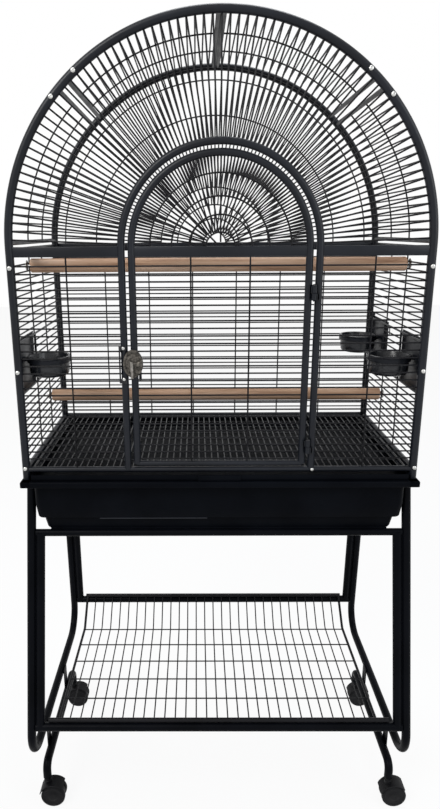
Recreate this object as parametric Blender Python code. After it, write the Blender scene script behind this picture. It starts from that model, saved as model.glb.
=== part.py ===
"""Arch-topped parrot cage on a castored tube stand with a wire shelf.

Metres, +Z up, standing on Z = 0. X runs left to right seen from the door, and the door faces -Y.
"""

import math

import bmesh
import bpy
from mathutils import Matrix, Vector

OBJECT = "parrot_cage"
GAP = 0.0003
WELD = 0.001  # how far welded pieces run into each other

# Cage
HALF_WIDTH = 0.360
PANEL_Y = 0.179
ARCH_Z = 1.138
POST_R = 0.007
ARCH_R = HALF_WIDTH - POST_R
BASE_RAIL_Z = 0.745
BASE_RAIL_R = 0.005
BAND_LOW = 1.1235
BAND_HIGH = 1.1405
BAND_T = 0.0066
UPRIGHT_TOP = 1.129
DOOR_UPRIGHT_X = 0.050
SIDE_UPRIGHT_Y = 0.050
STRIP_HALF_T = 0.001  # strips that close the slot over the base
REAR_UPRIGHTS = 6
REAR_UPRIGHT_PITCH = 0.098

# Wires: each is a three-sided rod, in one of two layers that nearly touch
WIRE_R = 0.0014
LAYER = 0.0016
FAN_STEP = 2.25
ROW_TOP = 1.1216
ROW_PITCH = 0.0132
ROWS = 27
FAN_CLEAR = 0.0052
HUB_START = 0.009
FAN_RINGS = (0.025, 0.053, 0.082, 0.118)
REAR_RINGS = (0.261, 0.329)
FINE_BEND = 4.5
COARSE_BEND = 9.0

# Door and its frame in the front panel
JAMB_R = 0.1662
DOOR_R = 0.149
DOOR_TUBE_R = 0.00625
DOOR_BASE_Z = 0.7565
HINGE_X = (JAMB_R + DOOR_R) / 2
HINGE_Y = -PANEL_Y - 0.0095
HINGE_HEIGHTS = {"upper": 1.063, "lower": 0.790}
KNUCKLE_R = 0.0045
KNUCKLE_L = 0.012
LEAF_FRONT = 0.001
LEAF_BACK = 0.0015
PIN_R = 0.002
PIN_HEAD_R = 0.004
PIN_HEAD_H = 0.003

# Latch on the door's left stile
LATCH_Z = 0.9434
LATCH_X = -0.1390
LATCH_PLATE_X = -0.1508
LATCH_PLATE_R = 0.0175
LATCH_PLATE_T = 0.008
LATCH_PLATE_STRETCH = 1.40
SPINDLE_R = 0.003
LEVER_HALF_WIDTH = 0.0038
LEVER_X = -0.1527
LEVER_DROP = 0.025
LEVER_TOP = 0.0055
FINGER_HALF_WIDTH = 0.004
FINGER_DROP = 0.036
KEEPER_LOW = 0.908
KEEPER_TOP = 0.974
KEEPER_T = 0.002
KEEPER_TONGUE_H = 0.008
KEEPER_TONGUE_X = -0.1625

# Feeder openings in the side panels, between two thick rows
STILE_R = 0.004
STILE_Y = PANEL_Y - POST_R - STILE_R - 0.0005
FEEDER_INNER_Y = 0.054
FEEDER_HINGE_Y = 0.160
FEEDER_EDGE_Y = 0.048
FEEDER_TOP_ROW = 11
FEEDER_LOW_ROW = 18
FEEDER_DOOR_LOW = ROW_TOP - ROW_PITCH * FEEDER_LOW_ROW - 0.0045
FEEDER_DOOR_TOP = ROW_TOP - ROW_PITCH * FEEDER_TOP_ROW + 0.0045
FEEDER_AXIS_X = 0.3575
FEEDER_PLATE_HALF_T = 0.0009
FEEDER_PIVOT_R = 0.0022
THICK_ROW_R = 0.002
FEEDER_BAR_R = 0.0019
LUG_Y = 0.157
LUG_H = 0.005
RING_R = 0.040
RING_HALF_H = 0.004
ARM_HALF_Y = 0.008
ARM_HALF_H = 0.003
BOWL_R = 0.0365
BOWL_WALL = 0.0022
BOWL_LIP = 0.0025
BOWL_FOOT_R = 0.030
BOWL_ROUND = 0.010
BOWL_RIM_Z = 0.945
BOWL_H = 0.036
BOWL_X = FEEDER_AXIS_X - RING_R - 0.005
BOWL_Y = FEEDER_HINGE_Y - RING_R - 0.004
CATCH_Y = 0.044
CATCH_Z = 0.963
CATCH_HALF_Y = 0.007
CATCH_HALF_Z = 0.010
CATCH_R = 0.0011

# Roof: end bars near the joints between panels, in degrees from them
ROOF_END_TURN = 1.42
ROOF_JOINT_TURN = 1.70
ROOF_CROWN_TURN = 0.74
ROOF_WIRE_TURN = 1.0
ROOF_ARC_R = 0.0038
ROOF_ARC_Y = PANEL_Y - POST_R - 0.0005 - ROOF_ARC_R

# Bolts in the front arch: heights on the posts, turns on the arch
BOLT_HEIGHTS = {"upper": 1.106, "middle": 0.9276, "lower": 0.7488}
BOLT_TURNS = {"roof_low": 40.8, "roof_high": 49.3}
BOLT_R = 0.0038
BOLT_TOP_R = 0.0024
BOLT_H = 0.0022

# Perches: height, depth and radius
PERCHES = {"upper": (1.104, -0.055, 0.013), "lower": (0.8272, 0.055, 0.0135)}
STUD_R = 0.0015
STUD_OUT = 0.0075
WASHER_R = 0.010
WASHER_START = 0.0034
WASHER_END = 0.0055
NUT_R = 0.0045
NUT_END = 0.0085

# Base: pan, litter tray and floor grate
RIM_HALF_X = 0.3625
RIM_HALF_Y = 0.198
RIM_LOW = 0.715
RIM_TOP = 0.7266
PAN_X = 0.3445
PAN_Y = 0.176
PAN_CREASE_Z = 0.673
PAN_STEP_X = 0.3415
PAN_STEP_Y = 0.172
PAN_STEP_Z = 0.646
PAN_STEP_IN = 0.0085
PAN_LOW_X = 0.3285
PAN_LOW_Y = 0.1595
PAN_LOW_Z = 0.6168
PAN_WALL = 0.002
SHEET = 0.0016
TRAY_HALF_X = 0.3435
TRAY_FRONT_Y = -0.1915
TRAY_BACK_Y = 0.166
TRAY_TOP = 0.7382
TAB_HALF_X = 0.039
TAB_OUT = 0.0025
TAB_INSET = 0.0004
LEDGE_LOW = 0.7392
LEDGE_TOP = 0.7412
LEDGE_OUT = 0.017
LEDGE_HALF_Y = 0.158
GRATE_R = 0.0025
GRATE_WIRE_R = 0.0011
GRATE_Z = LEDGE_TOP + GAP + GRATE_R
GRATE_HALF_X = 0.342
GRATE_HALF_Y = 0.168
GRATE_BAYS = 28
GRATE_CROSS_BAYS = 8
GRATE_LAYER_UP = 0.00100
GRATE_LAYER_DOWN = 0.00125

# Stand
STAND_R = 0.0085
LEG_TOP = Vector((0.3545, 0.144, 0.7130))
LEG_FOOT = Vector((0.3715, 0.239, 0.142))
SIDE_BEND_R = 0.055
CROSS_TOP_Z = 0.6094
CROSS_TOP_R = 0.0070
SHELF_RAIL_Z = 0.2205
SHELF_EDGE_R = 0.0045
SHELF_EDGE_IN = 0.003
SHELF_END_R = 0.003
SHELF_END_INSET = 0.004
SHELF_DROP = 0.0425
SHELF_FLOOR_Y = 0.160
SHELF_WIRES = 31
SHELF_CROSS = 6
SHELF_CROSS_PITCH = 0.0624

# Castors under two runner tubes
RUNNER_X = 0.356
RUNNER_Z = 0.096
STEM_FRONT_Y = -0.191
STEM_REAR_Y = 0.100
RUNNER_BEND_R = 0.018
ELBOW_LOW_Z = 0.0640
STRAP_PLACES = (-0.135, 0.045)
STRAP_HALF_Y = 0.014
STRAP_INNER = 0.0053
STRAP_LOW = 0.092
STRAP_TOP = 0.150
NECK_LOW = 0.0515
NECK_R = 0.0075
WHEEL_R = 0.025
WHEEL_SIDES = 16
WHEEL_TRAIL = 0.0115
WHEEL_INNER_Y = 0.0050
WHEEL_OUTER_Y = 0.0148
AXLE_R = 0.0034
AXLE_BORE_R = 0.0042
AXLE_HALF_L = 0.012
WEB_R = 0.0232
WEB_HALF_Y = 0.0045
HOOD_OUTER_R = 0.0285
HOOD_INNER_R = 0.0267
HOOD_HALF_Y = 0.0155
HOOD_LOW = 0.0075
HOOD_FRONT = 0.0215
TIE_HALF_X = 0.012
TIE_HALF_Y = 0.0044
TIE_LOW = 0.009
TIE_TOP = 0.0250

SIDES = {"left": -1, "right": 1}
ENDS = {"front": -1, "rear": 1}
FEEDERS = {"left": ("front",), "right": ("front", "rear")}
ALL_ROWS = range(1, ROWS + 1)
MIRROR_X = Matrix.Diagonal((-1, 1, 1, 1))
MIRROR_Y = Matrix.Diagonal((1, -1, 1, 1))


def clear_scene():
    for item in list(bpy.data.objects):
        bpy.data.objects.remove(item)


def new_collection(name, hidden=False):
    made = bpy.data.collections.new(name)
    bpy.context.scene.collection.children.link(made)
    made.hide_render = hidden
    return made


def new_material(name, colour, roughness, metallic=0.0):
    made = bpy.data.materials.new(name)
    made.use_nodes = True
    shader = made.node_tree.nodes["Principled BSDF"]
    shader.inputs["Base Color"].default_value = (*colour, 1.0)
    shader.inputs["Roughness"].default_value = roughness
    shader.inputs["Metallic"].default_value = metallic
    return made


clear_scene()
PARTS = new_collection(OBJECT)
CUTTERS = new_collection("cutters", hidden=True)
COAT = new_material("black_coat", (0.018, 0.019, 0.023), 0.38)
PAN_COAT = new_material("pan_black", (0.010, 0.010, 0.012), 0.30)
WOOD = new_material("perch_wood", (0.36, 0.20, 0.11), 0.6)
STEEL = new_material("zinc_steel", (0.62, 0.62, 0.60), 0.28, 1.0)
CAST = new_material("cast_latch", (0.32, 0.30, 0.27), 0.42, 0.8)
BOWL_PLASTIC = new_material("bowl_plastic", (0.02, 0.02, 0.025), 0.3)
TYRE = new_material("castor_black", (0.015, 0.015, 0.016), 0.5)


def arc(radius, start, stop, steps, centre=Vector((0, 0, ARCH_Z)), y=0.0):
    """Points on an upright arc in the XZ plane, angles in degrees from +X."""
    turns = [math.radians(start + (stop - start) * i / steps) for i in range(steps + 1)]
    return [centre + Vector((radius * math.cos(t), y, radius * math.sin(t))) for t in turns]


def filleted(corners, radius, steps=4):
    """The points of a path whose inner corners are rounded."""
    path = [corners[0]]
    for before, corner, after in zip(corners, corners[1:], corners[2:]):
        back = (before - corner).normalized()
        ahead = (after - corner).normalized()
        half = back.angle(ahead) / 2
        reach = radius / math.tan(half)
        middle = corner + (back + ahead).normalized() * (radius / math.sin(half))
        first = corner + back * reach - middle
        last = corner + ahead * reach - middle
        sweep = first.angle(last)
        for i in range(steps + 1):
            share = i / steps
            blend = first * math.sin((1 - share) * sweep) + last * math.sin(share * sweep)
            path.append(middle + blend / math.sin(sweep))
    return path + [corners[-1]]


def triangle_profile(radius):
    """A three-sided bevel profile for bent wires."""
    data = bpy.data.curves.new("profile", "CURVE")
    data.dimensions = "2D"
    spline = data.splines.new("POLY")
    spline.points.add(2)
    for place, turn in zip(spline.points, (90, 210, 330)):
        angle = math.radians(turn)
        place.co = (radius * math.cos(angle), radius * math.sin(angle), 0.0, 1.0)
    spline.use_cyclic_u = True
    made = bpy.data.objects.new("profile", data)
    CUTTERS.objects.link(made)
    return made


def rod(points, radius, resolution=1, closed=False, thin=False):
    """A tube or wire along the points, as a welded mesh: 4 + 2 * resolution sides, or 3 if thin."""
    data = bpy.data.curves.new("path", "CURVE")
    data.dimensions = "3D"
    data.use_fill_caps = True
    profile = None
    if thin:
        profile = triangle_profile(radius)
        data.bevel_mode = "OBJECT"
        data.bevel_object = profile
    else:
        data.bevel_depth = radius
        data.bevel_resolution = resolution
    spline = data.splines.new("POLY")
    spline.points.add(len(points) - 1)
    for place, point in zip(spline.points, points):
        place.co = (*point, 1.0)
    spline.use_cyclic_u = closed
    guide = bpy.data.objects.new("path", data)
    CUTTERS.objects.link(guide)
    bpy.context.view_layer.update()
    mesh = bpy.data.meshes.new_from_object(guide.evaluated_get(bpy.context.evaluated_depsgraph_get()))
    bpy.data.objects.remove(guide)
    if profile:
        bpy.data.objects.remove(profile)
    work = bmesh.new()
    work.from_mesh(mesh)
    bmesh.ops.remove_doubles(work, verts=work.verts, dist=0.00001)
    bmesh.ops.recalc_face_normals(work, faces=work.faces)
    work.to_mesh(mesh)
    work.free()
    return mesh


def from_bmesh(work):
    mesh = bpy.data.meshes.new("solid")
    work.to_mesh(mesh)
    work.free()
    return mesh


def cylinder(start, end, radius, sides=8, end_radius=None, work=None):
    """A cylinder, or a cone with end_radius, between two points."""
    start, end = Vector(start), Vector(end)
    along = end - start
    turn = along.to_track_quat("Z", "Y").to_matrix().to_4x4()
    own = work is None
    work = bmesh.new() if own else work
    bmesh.ops.create_cone(
        work,
        cap_ends=True,
        segments=sides,
        radius1=radius,
        radius2=radius if end_radius is None else end_radius,
        depth=along.length,
        matrix=Matrix.Translation((start + end) / 2) @ turn,
    )
    return from_bmesh(work) if own else None


def wires(segments, radius=WIRE_R, sides=3):
    """Straight wires that don't touch each other, as one mesh."""
    work = bmesh.new()
    for start, end in segments:
        cylinder(start, end, radius, sides, work=work)
    return from_bmesh(work)


def box(low, high):
    low, high = Vector(low), Vector(high)
    work = bmesh.new()
    bmesh.ops.create_cube(work, size=1.0)
    bmesh.ops.scale(work, vec=high - low, verts=work.verts)
    bmesh.ops.translate(work, vec=(low + high) / 2, verts=work.verts)
    return from_bmesh(work)


def stacked(levels):
    """A solid round the Z axis through rectangles of (half_x, half_y, z), from its floor up."""
    work = bmesh.new()
    loops = []
    for half_x, half_y, z in levels:
        corners = ((-half_x, -half_y), (half_x, -half_y), (half_x, half_y), (-half_x, half_y))
        loops.append([work.verts.new((x, y, z)) for x, y in corners])
    work.faces.new(loops[0][::-1])
    work.faces.new(loops[-1])
    for low, high in zip(loops, loops[1:]):
        for i, j in ((0, 1), (1, 2), (2, 3), (3, 0)):
            work.faces.new((low[i], low[j], high[j], high[i]))
    return from_bmesh(work)


def joined(*meshes):
    """Separate meshes kept as they are, in one mesh."""
    work = bmesh.new()
    for mesh in meshes:
        work.from_mesh(mesh)
    return from_bmesh(work)


def turned(outline, centre, steps=12):
    """A closed outline of (radius, height) turned about an upright axis."""
    work = bmesh.new()
    points = [work.verts.new((r, 0.0, z)) for r, z in outline]
    edges = [work.edges.new((a, b)) for a, b in zip(points, points[1:])]
    on_axis = outline[0][0] == 0.0 and outline[-1][0] == 0.0
    if not on_axis:
        edges.append(work.edges.new((points[-1], points[0])))
    bmesh.ops.spin(
        work,
        geom=points + edges,
        cent=(0, 0, 0),
        axis=(0, 0, 1),
        angle=2 * math.pi,
        steps=steps,
        use_duplicate=False,
    )
    bmesh.ops.remove_doubles(work, verts=work.verts, dist=0.00001)
    bmesh.ops.recalc_face_normals(work, faces=work.faces)
    bmesh.ops.translate(work, vec=Vector(centre), verts=work.verts)
    return from_bmesh(work)


def moved(mesh, matrix):
    made = mesh.copy()
    made.transform(matrix)
    if matrix.determinant() < 0:
        made.flip_normals()
    return made


def placed(mesh, side_x=1, side_y=1):
    """The mesh, mirrored to the left for side_x -1 and to the front for side_y -1."""
    if side_x < 0:
        mesh = moved(mesh, MIRROR_X)
    if side_y < 0:
        mesh = moved(mesh, MIRROR_Y)
    return mesh


def add(name, mesh, finish):
    mesh.name = name
    mesh.materials.clear()
    mesh.materials.append(finish)
    made = bpy.data.objects.new(name, mesh)
    PARTS.objects.link(made)
    mesh.shade_smooth()
    mesh.set_sharp_from_angle(angle=math.radians(50))
    return made


def combined(base, operation, tools):
    """The base mesh with each tool mesh joined on or cut away in turn."""
    for tool_mesh in tools:
        target = bpy.data.objects.new("target", base)
        tool = bpy.data.objects.new("tool", tool_mesh)
        tool.hide_render = True
        tool.display_type = "WIRE"
        CUTTERS.objects.link(target)
        CUTTERS.objects.link(tool)
        modifier = target.modifiers.new("Shape", "BOOLEAN")
        modifier.operation = operation
        modifier.solver = "EXACT"
        modifier.object = tool
        bpy.context.view_layer.update()
        graph = bpy.context.evaluated_depsgraph_get()
        base = bpy.data.meshes.new_from_object(target.evaluated_get(graph))
        bpy.data.objects.remove(target)
        bpy.data.objects.remove(tool)
    return base


def fused(base, *tools):
    return combined(base, "UNION", tools)


def cut(base, *tools):
    return combined(base, "DIFFERENCE", tools)


def row_height(row):
    return ROW_TOP - ROW_PITCH * row


def on_arch(radius, turn, y):
    angle = math.radians(turn)
    return Vector((radius * math.cos(angle), y, ARCH_Z + radius * math.sin(angle)))


def arch_frame(radius, tube_r, foot_z, y, bend):
    """An arch with its two posts down to foot_z. Its corners stand between the radial wires."""
    first = FAN_STEP * 1.5
    shoulder_z = ARCH_Z - 0.03
    turns = [first + bend * i for i in range(round(180 / bend))]
    path = [Vector((radius, y, foot_z)), Vector((radius, y, shoulder_z))]
    path += [on_arch(radius, turn, y) for turn in turns]
    path += [Vector((-radius, y, shoulder_z)), Vector((-radius, y, foot_z))]
    return rod(path, tube_r)


def fan(outer, y, starts, step=FAN_STEP):
    """Radial wires out to the arch. Starts maps how often a wire comes to the radius it starts at."""
    made = []
    for number in range(1, round(180 / step)):
        turn = math.radians(step * number)
        start = next(radius for every, radius in starts if number % every == 0)
        start = max(start, FAN_CLEAR / math.sin(turn))
        ray = Vector((math.cos(turn), 0, math.sin(turn)))
        hub = Vector((0, y, ARCH_Z))
        made.append((hub + ray * start, hub + ray * outer))
    return wires(made)


def ring_wires(radii, y):
    """Half rings that stand in the belly band."""
    made = []
    for radius in radii:
        steps = 6 + round(radius * 45)
        points = arc(radius, 0, 180, steps, y=y)
        points = [points[0] - Vector((0, 0, 0.003))] + points[1:-1] + [points[-1] - Vector((0, 0, 0.003))]
        made.append(rod(points, WIRE_R, thin=True))
    return joined(*made)


def across_rows(left, right, y, rows):
    return wires([((left, y, row_height(k)), (right, y, row_height(k))) for k in rows])


def deep_rows(x, front, rear, rows):
    """The ends of row wires that run front to back at x."""
    return [((x, front, row_height(k)), (x, rear, row_height(k))) for k in rows]


def upright_wires(places, low, high):
    return wires([((x, y, low), (x, y, high)) for x, y in places])


def band(left, right, y):
    return box((left, y - BAND_T / 2, BAND_LOW), (right, y + BAND_T / 2, BAND_HIGH))


def hinge_leaf(tube_x, side, low, top):
    """A leaf that goes out from the knuckle and back to the front of the tube at tube_x."""
    front = HINGE_Y - LEAF_FRONT
    back = HINGE_Y + LEAF_BACK
    low = low + WELD
    top = top - WELD
    reach = sorted((HINGE_X, tube_x))
    root = sorted((tube_x - 3 * side * WELD, tube_x + side * WELD))
    return [
        box((reach[0], front, low), (reach[1], back, top)),
        box((root[0], front, low), (root[1], -PANEL_Y, top)),
    ]


def hinge_bore(low, top):
    return cylinder((HINGE_X, HINGE_Y, low - 0.01), (HINGE_X, HINGE_Y, top + 0.01), PIN_R + GAP)


def front_panel():
    y = -PANEL_Y
    outer = arch_frame(ARCH_R, POST_R, RIM_TOP + GAP, y, FINE_BEND)
    jamb = arch_frame(JAMB_R, DOOR_TUBE_R, BASE_RAIL_Z, y, COARSE_BEND)
    rail = rod([Vector((-ARCH_R, y, BASE_RAIL_Z)), Vector((ARCH_R, y, BASE_RAIL_Z))], BASE_RAIL_R)
    bands = joined(band(-ARCH_R, -JAMB_R, y), band(JAMB_R, ARCH_R, y))
    rows = joined(
        across_rows(-ARCH_R, -JAMB_R, y + LAYER, ALL_ROWS),
        across_rows(JAMB_R, ARCH_R, y + LAYER, ALL_ROWS),
    )
    middle = (ARCH_R + JAMB_R) / 2
    uprights = upright_wires([(-middle, y - LAYER), (middle, y - LAYER)], BASE_RAIL_Z, UPRIGHT_TOP)
    leaves = []
    knuckles = []
    bores = []
    for height in HINGE_HEIGHTS.values():
        low = height - KNUCKLE_L - GAP / 2
        top = height - GAP / 2
        leaves += hinge_leaf(JAMB_R, 1, low, top)
        knuckles.append(cylinder((HINGE_X, HINGE_Y, low), (HINGE_X, HINGE_Y, top), KNUCKLE_R))
        bores.append(hinge_bore(low, top))
    radials = fan(ARCH_R, y + LAYER, [(1, JAMB_R)])
    solid = fused(outer, rail, jamb, bands, rows, uprights, radials)
    solid = fused(solid, *knuckles, *leaves)
    add("front_panel", cut(solid, *bores), COAT)


def rear_panel():
    y = PANEL_Y
    outer = arch_frame(ARCH_R, POST_R, RIM_TOP + GAP, y, COARSE_BEND)
    rail = rod([Vector((-ARCH_R, y, BASE_RAIL_Z)), Vector((ARCH_R, y, BASE_RAIL_Z))], BASE_RAIL_R)
    rows = across_rows(-ARCH_R, ARCH_R, y - LAYER, ALL_ROWS)
    first = -REAR_UPRIGHT_PITCH * (REAR_UPRIGHTS - 1) / 2
    places = [(first + REAR_UPRIGHT_PITCH * i, y + LAYER) for i in range(REAR_UPRIGHTS)]
    uprights = upright_wires(places, BASE_RAIL_Z, UPRIGHT_TOP)
    radials = fan(ARCH_R, y - LAYER, [(4, FAN_RINGS[0]), (2, FAN_RINGS[2]), (1, FAN_RINGS[3])])
    rings = ring_wires(FAN_RINGS + REAR_RINGS, y + LAYER)
    strip = box((-ARCH_R, y - STRIP_HALF_T, RIM_TOP + GAP), (ARCH_R, y + STRIP_HALF_T, BASE_RAIL_Z))
    solid = fused(outer, rail, strip, band(-ARCH_R, ARCH_R, y), rows, uprights, radials, rings)
    add("rear_panel", solid, COAT)


def door():
    y = -PANEL_Y
    outer = arch_frame(DOOR_R, DOOR_TUBE_R, DOOR_BASE_Z, y, COARSE_BEND)
    rail = rod([Vector((-DOOR_R, y, DOOR_BASE_Z)), Vector((DOOR_R, y, DOOR_BASE_Z))], BASE_RAIL_R)
    rows = across_rows(-DOOR_R, DOOR_R, y + LAYER, ALL_ROWS)
    places = [(-DOOR_UPRIGHT_X, y - LAYER), (DOOR_UPRIGHT_X, y - LAYER)]
    uprights = upright_wires(places, DOOR_BASE_Z, UPRIGHT_TOP)
    starts = [(10, HUB_START), (2, FAN_RINGS[0]), (1, FAN_RINGS[2])]
    radials = fan(DOOR_R, y + LAYER, starts, 2 * FAN_STEP)
    rings = ring_wires(FAN_RINGS, y - LAYER)
    solid = fused(outer, rail, band(-DOOR_R, DOOR_R, y), rows, uprights, radials, rings)
    for level, height in HINGE_HEIGHTS.items():
        low = height + GAP / 2
        top = low + KNUCKLE_L
        knuckle = cylinder((HINGE_X, HINGE_Y, low), (HINGE_X, HINGE_Y, top), KNUCKLE_R)
        solid = fused(solid, knuckle, *hinge_leaf(DOOR_R, -1, low, top))
        solid = cut(solid, hinge_bore(low, top))
        pin_foot = (HINGE_X, HINGE_Y, height - KNUCKLE_L - 2 * WELD)
        pin = cylinder(pin_foot, (HINGE_X, HINGE_Y, top + WELD), PIN_R)
        head = cylinder((HINGE_X, HINGE_Y, top + GAP), (HINGE_X, HINGE_Y, top + PIN_HEAD_H), PIN_HEAD_R)
        add(f"door_hinge_pin_{level}", fused(pin, head), STEEL)
    made = add("door", solid, COAT)
    set_origin(made, (HINGE_X, HINGE_Y, HINGE_HEIGHTS["lower"]))


def set_origin(made, point):
    """Moves the object's origin to the point without moving its solid."""
    made.data.transform(Matrix.Translation(-Vector(point)))
    made.location = point


def latch():
    """A cast plate on the door's stile with a turn lever, and a clip on the door frame's post."""
    front = -PANEL_Y - DOOR_TUBE_R - GAP
    back = -PANEL_Y + DOOR_TUBE_R
    plate = cylinder((0, 0, 0), (0, LATCH_PLATE_T, 0), LATCH_PLATE_R, 16)
    stretch = Matrix.Diagonal((1, 1, LATCH_PLATE_STRETCH, 1))
    plate = moved(plate, Matrix.Translation((LATCH_PLATE_X, front - LATCH_PLATE_T, LATCH_Z)) @ stretch)
    bore = cylinder((LATCH_X, front - 0.02, LATCH_Z), (LATCH_X, front + 0.01, LATCH_Z), SPINDLE_R + GAP)
    add("latch_plate", cut(plate, bore), CAST)
    shaft = cylinder((LATCH_X, front - 0.0135, LATCH_Z), (LATCH_X, back + 0.004, LATCH_Z), SPINDLE_R)
    lever = box(
        (LEVER_X - LEVER_HALF_WIDTH, front - 0.0130, LATCH_Z - LEVER_DROP),
        (LEVER_X + LEVER_HALF_WIDTH, front - 0.0085, LATCH_Z + LEVER_TOP),
    )
    crank = box(
        (LEVER_X, front - 0.0128, LATCH_Z - LEVER_HALF_WIDTH),
        (LATCH_X + LEVER_HALF_WIDTH, front - 0.0087, LATCH_Z + LEVER_HALF_WIDTH),
    )
    finger = box(
        (LATCH_X - FINGER_HALF_WIDTH, back + 0.0010, LATCH_Z - FINGER_DROP),
        (LATCH_X + FINGER_HALF_WIDTH, back + 0.0035, LATCH_Z + 0.0050),
    )
    made = add("latch_lever", fused(shaft, lever, crank, finger), CAST)
    set_origin(made, (LATCH_X, front, LATCH_Z))
    post_front = -PANEL_Y - DOOR_TUBE_R
    strip_x = -JAMB_R - DOOR_TUBE_R - 0.0008
    strip_y = post_front - 0.0025
    solids = [box((strip_x - KEEPER_T, strip_y, KEEPER_LOW), (strip_x, post_front + 0.005, KEEPER_TOP))]
    for low in (KEEPER_LOW, KEEPER_TOP - KEEPER_TONGUE_H):
        tongue_end = (KEEPER_TONGUE_X, post_front - 2 * GAP, low + KEEPER_TONGUE_H)
        solids.append(box((strip_x - WELD, strip_y, low), tongue_end))
    add("latch_keeper", fused(*solids), STEEL)


def side_panel(name, side, feeder_ends):
    """A side panel with an opening for each feeder at the ends given, -1 front and 1 rear."""
    rail_x = ARCH_R
    rows_x = rail_x - LAYER
    stiles = [
        rod([Vector((rail_x, y, RIM_TOP + GAP)), Vector((rail_x, y, BAND_HIGH))], STILE_R)
        for y in (-STILE_Y, STILE_Y)
    ]
    rail = rod([Vector((rail_x, -STILE_Y, BASE_RAIL_Z)), Vector((rail_x, STILE_Y, BASE_RAIL_Z))], BASE_RAIL_R)
    top = box((rail_x - BAND_T / 2, -STILE_Y, BAND_LOW), (rail_x + BAND_T / 2, STILE_Y, BAND_HIGH - 2 * WELD))
    ledge = box((rail_x - LEDGE_OUT, -LEDGE_HALF_Y, LEDGE_LOW), (rail_x, LEDGE_HALF_Y, LEDGE_TOP))
    full = [k for k in ALL_ROWS if not FEEDER_TOP_ROW <= k <= FEEDER_LOW_ROW]
    short = range(FEEDER_TOP_ROW + 1, FEEDER_LOW_ROW)
    edges = (FEEDER_TOP_ROW, FEEDER_LOW_ROW)
    bar_ends = (row_height(FEEDER_LOW_ROW), row_height(FEEDER_TOP_ROW))
    inner = FEEDER_INNER_Y
    front = -inner if -1 in feeder_ends else -STILE_Y
    rear = inner if 1 in feeder_ends else STILE_Y
    rows = wires(deep_rows(rows_x, -STILE_Y, STILE_Y, full))
    thick = wires(deep_rows(rows_x, -STILE_Y, STILE_Y, edges), THICK_ROW_R, 4)
    middle = wires(deep_rows(rows_x, front, rear, short))
    bar_places = [end * inner for end in feeder_ends]
    bar_paths = [((rows_x, y, bar_ends[0]), (rows_x, y, bar_ends[1])) for y in bar_places]
    bars = wires(bar_paths, FEEDER_BAR_R, 4)
    strip_low = (rail_x - STRIP_HALF_T, -STILE_Y, RIM_TOP + GAP)
    strip = box(strip_low, (rail_x + STRIP_HALF_T, STILE_Y, BASE_RAIL_Z))
    places = [(rail_x + LAYER, -SIDE_UPRIGHT_Y), (rail_x + LAYER, SIDE_UPRIGHT_Y)]
    uprights = upright_wires(places, BASE_RAIL_Z, UPRIGHT_TOP)
    lugs = []
    for end in feeder_ends:
        for low in (FEEDER_DOOR_LOW - GAP - LUG_H, FEEDER_DOOR_TOP + GAP):
            lug = box((rail_x, LUG_Y, low), (FEEDER_AXIS_X + 2 * WELD, STILE_Y, low + LUG_H))
            lugs.append(placed(lug, 1, end))
    solid = fused(stiles[0], stiles[1], rail, strip, top, ledge, rows, thick, bars, middle, uprights)
    add(name, placed(fused(solid, joined(*lugs)), side), COAT)


def feeder(name, side, end):
    """A solid swing door with a ring that holds a bowl inside the cage."""
    rod_start = (FEEDER_AXIS_X, FEEDER_HINGE_Y, FEEDER_DOOR_LOW)
    rod_end = (FEEDER_AXIS_X, FEEDER_HINGE_Y, FEEDER_DOOR_TOP)
    pivot = cylinder(rod_start, rod_end, FEEDER_PIVOT_R, 6)
    plate = box(
        (FEEDER_AXIS_X - FEEDER_PLATE_HALF_T, FEEDER_EDGE_Y, FEEDER_DOOR_LOW + 0.0005),
        (FEEDER_AXIS_X + FEEDER_PLATE_HALF_T, FEEDER_HINGE_Y, FEEDER_DOOR_TOP - 0.0005),
    )
    ring_inner = BOWL_R + 0.0010
    ring_outline = [
        (RING_R, -RING_HALF_H),
        (RING_R, RING_HALF_H),
        (ring_inner, RING_HALF_H),
        (ring_inner, -RING_HALF_H),
    ]
    ring_z = BOWL_RIM_Z - BOWL_LIP - GAP - RING_HALF_H
    ring = turned(ring_outline, (BOWL_X, BOWL_Y, ring_z))
    arm = box(
        (BOWL_X + RING_R - 0.0017, BOWL_Y - ARM_HALF_Y, ring_z - ARM_HALF_H),
        (FEEDER_AXIS_X, BOWL_Y + ARM_HALF_Y, ring_z + ARM_HALF_H),
    )
    turns = [math.radians(30 * i) for i in range(12)]
    catch_path = [
        Vector((FEEDER_AXIS_X, CATCH_Y + CATCH_HALF_Y * math.cos(t), CATCH_Z + CATCH_HALF_Z * math.sin(t)))
        for t in turns
    ]
    catch = rod(catch_path, CATCH_R, closed=True, thin=True)
    solid = placed(fused(plate, pivot, arm, ring, catch), side, end)
    made = add(f"feeder_door_{name}", solid, COAT)
    set_origin(made, (side * FEEDER_AXIS_X, end * FEEDER_HINGE_Y, FEEDER_DOOR_LOW))
    low = BOWL_RIM_Z - BOWL_H
    inner = BOWL_R - BOWL_WALL
    outline = [
        (0.0, low),
        (BOWL_FOOT_R, low),
        (BOWL_R, low + BOWL_ROUND),
        (BOWL_R, BOWL_RIM_Z - BOWL_LIP),
        (RING_R, BOWL_RIM_Z - BOWL_LIP),
        (RING_R, BOWL_RIM_Z),
        (inner, BOWL_RIM_Z),
        (inner, low + BOWL_ROUND + 2 * WELD),
        (BOWL_FOOT_R - BOWL_WALL, low + BOWL_WALL + WELD),
        (0.0, low + BOWL_WALL + WELD),
    ]
    bowl = turned(outline, (BOWL_X, BOWL_Y, 0))
    made = add(f"feeder_bowl_{name}", placed(bowl, side, end), BOWL_PLASTIC)
    set_origin(made, (side * BOWL_X, end * BOWL_Y, low))


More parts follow.
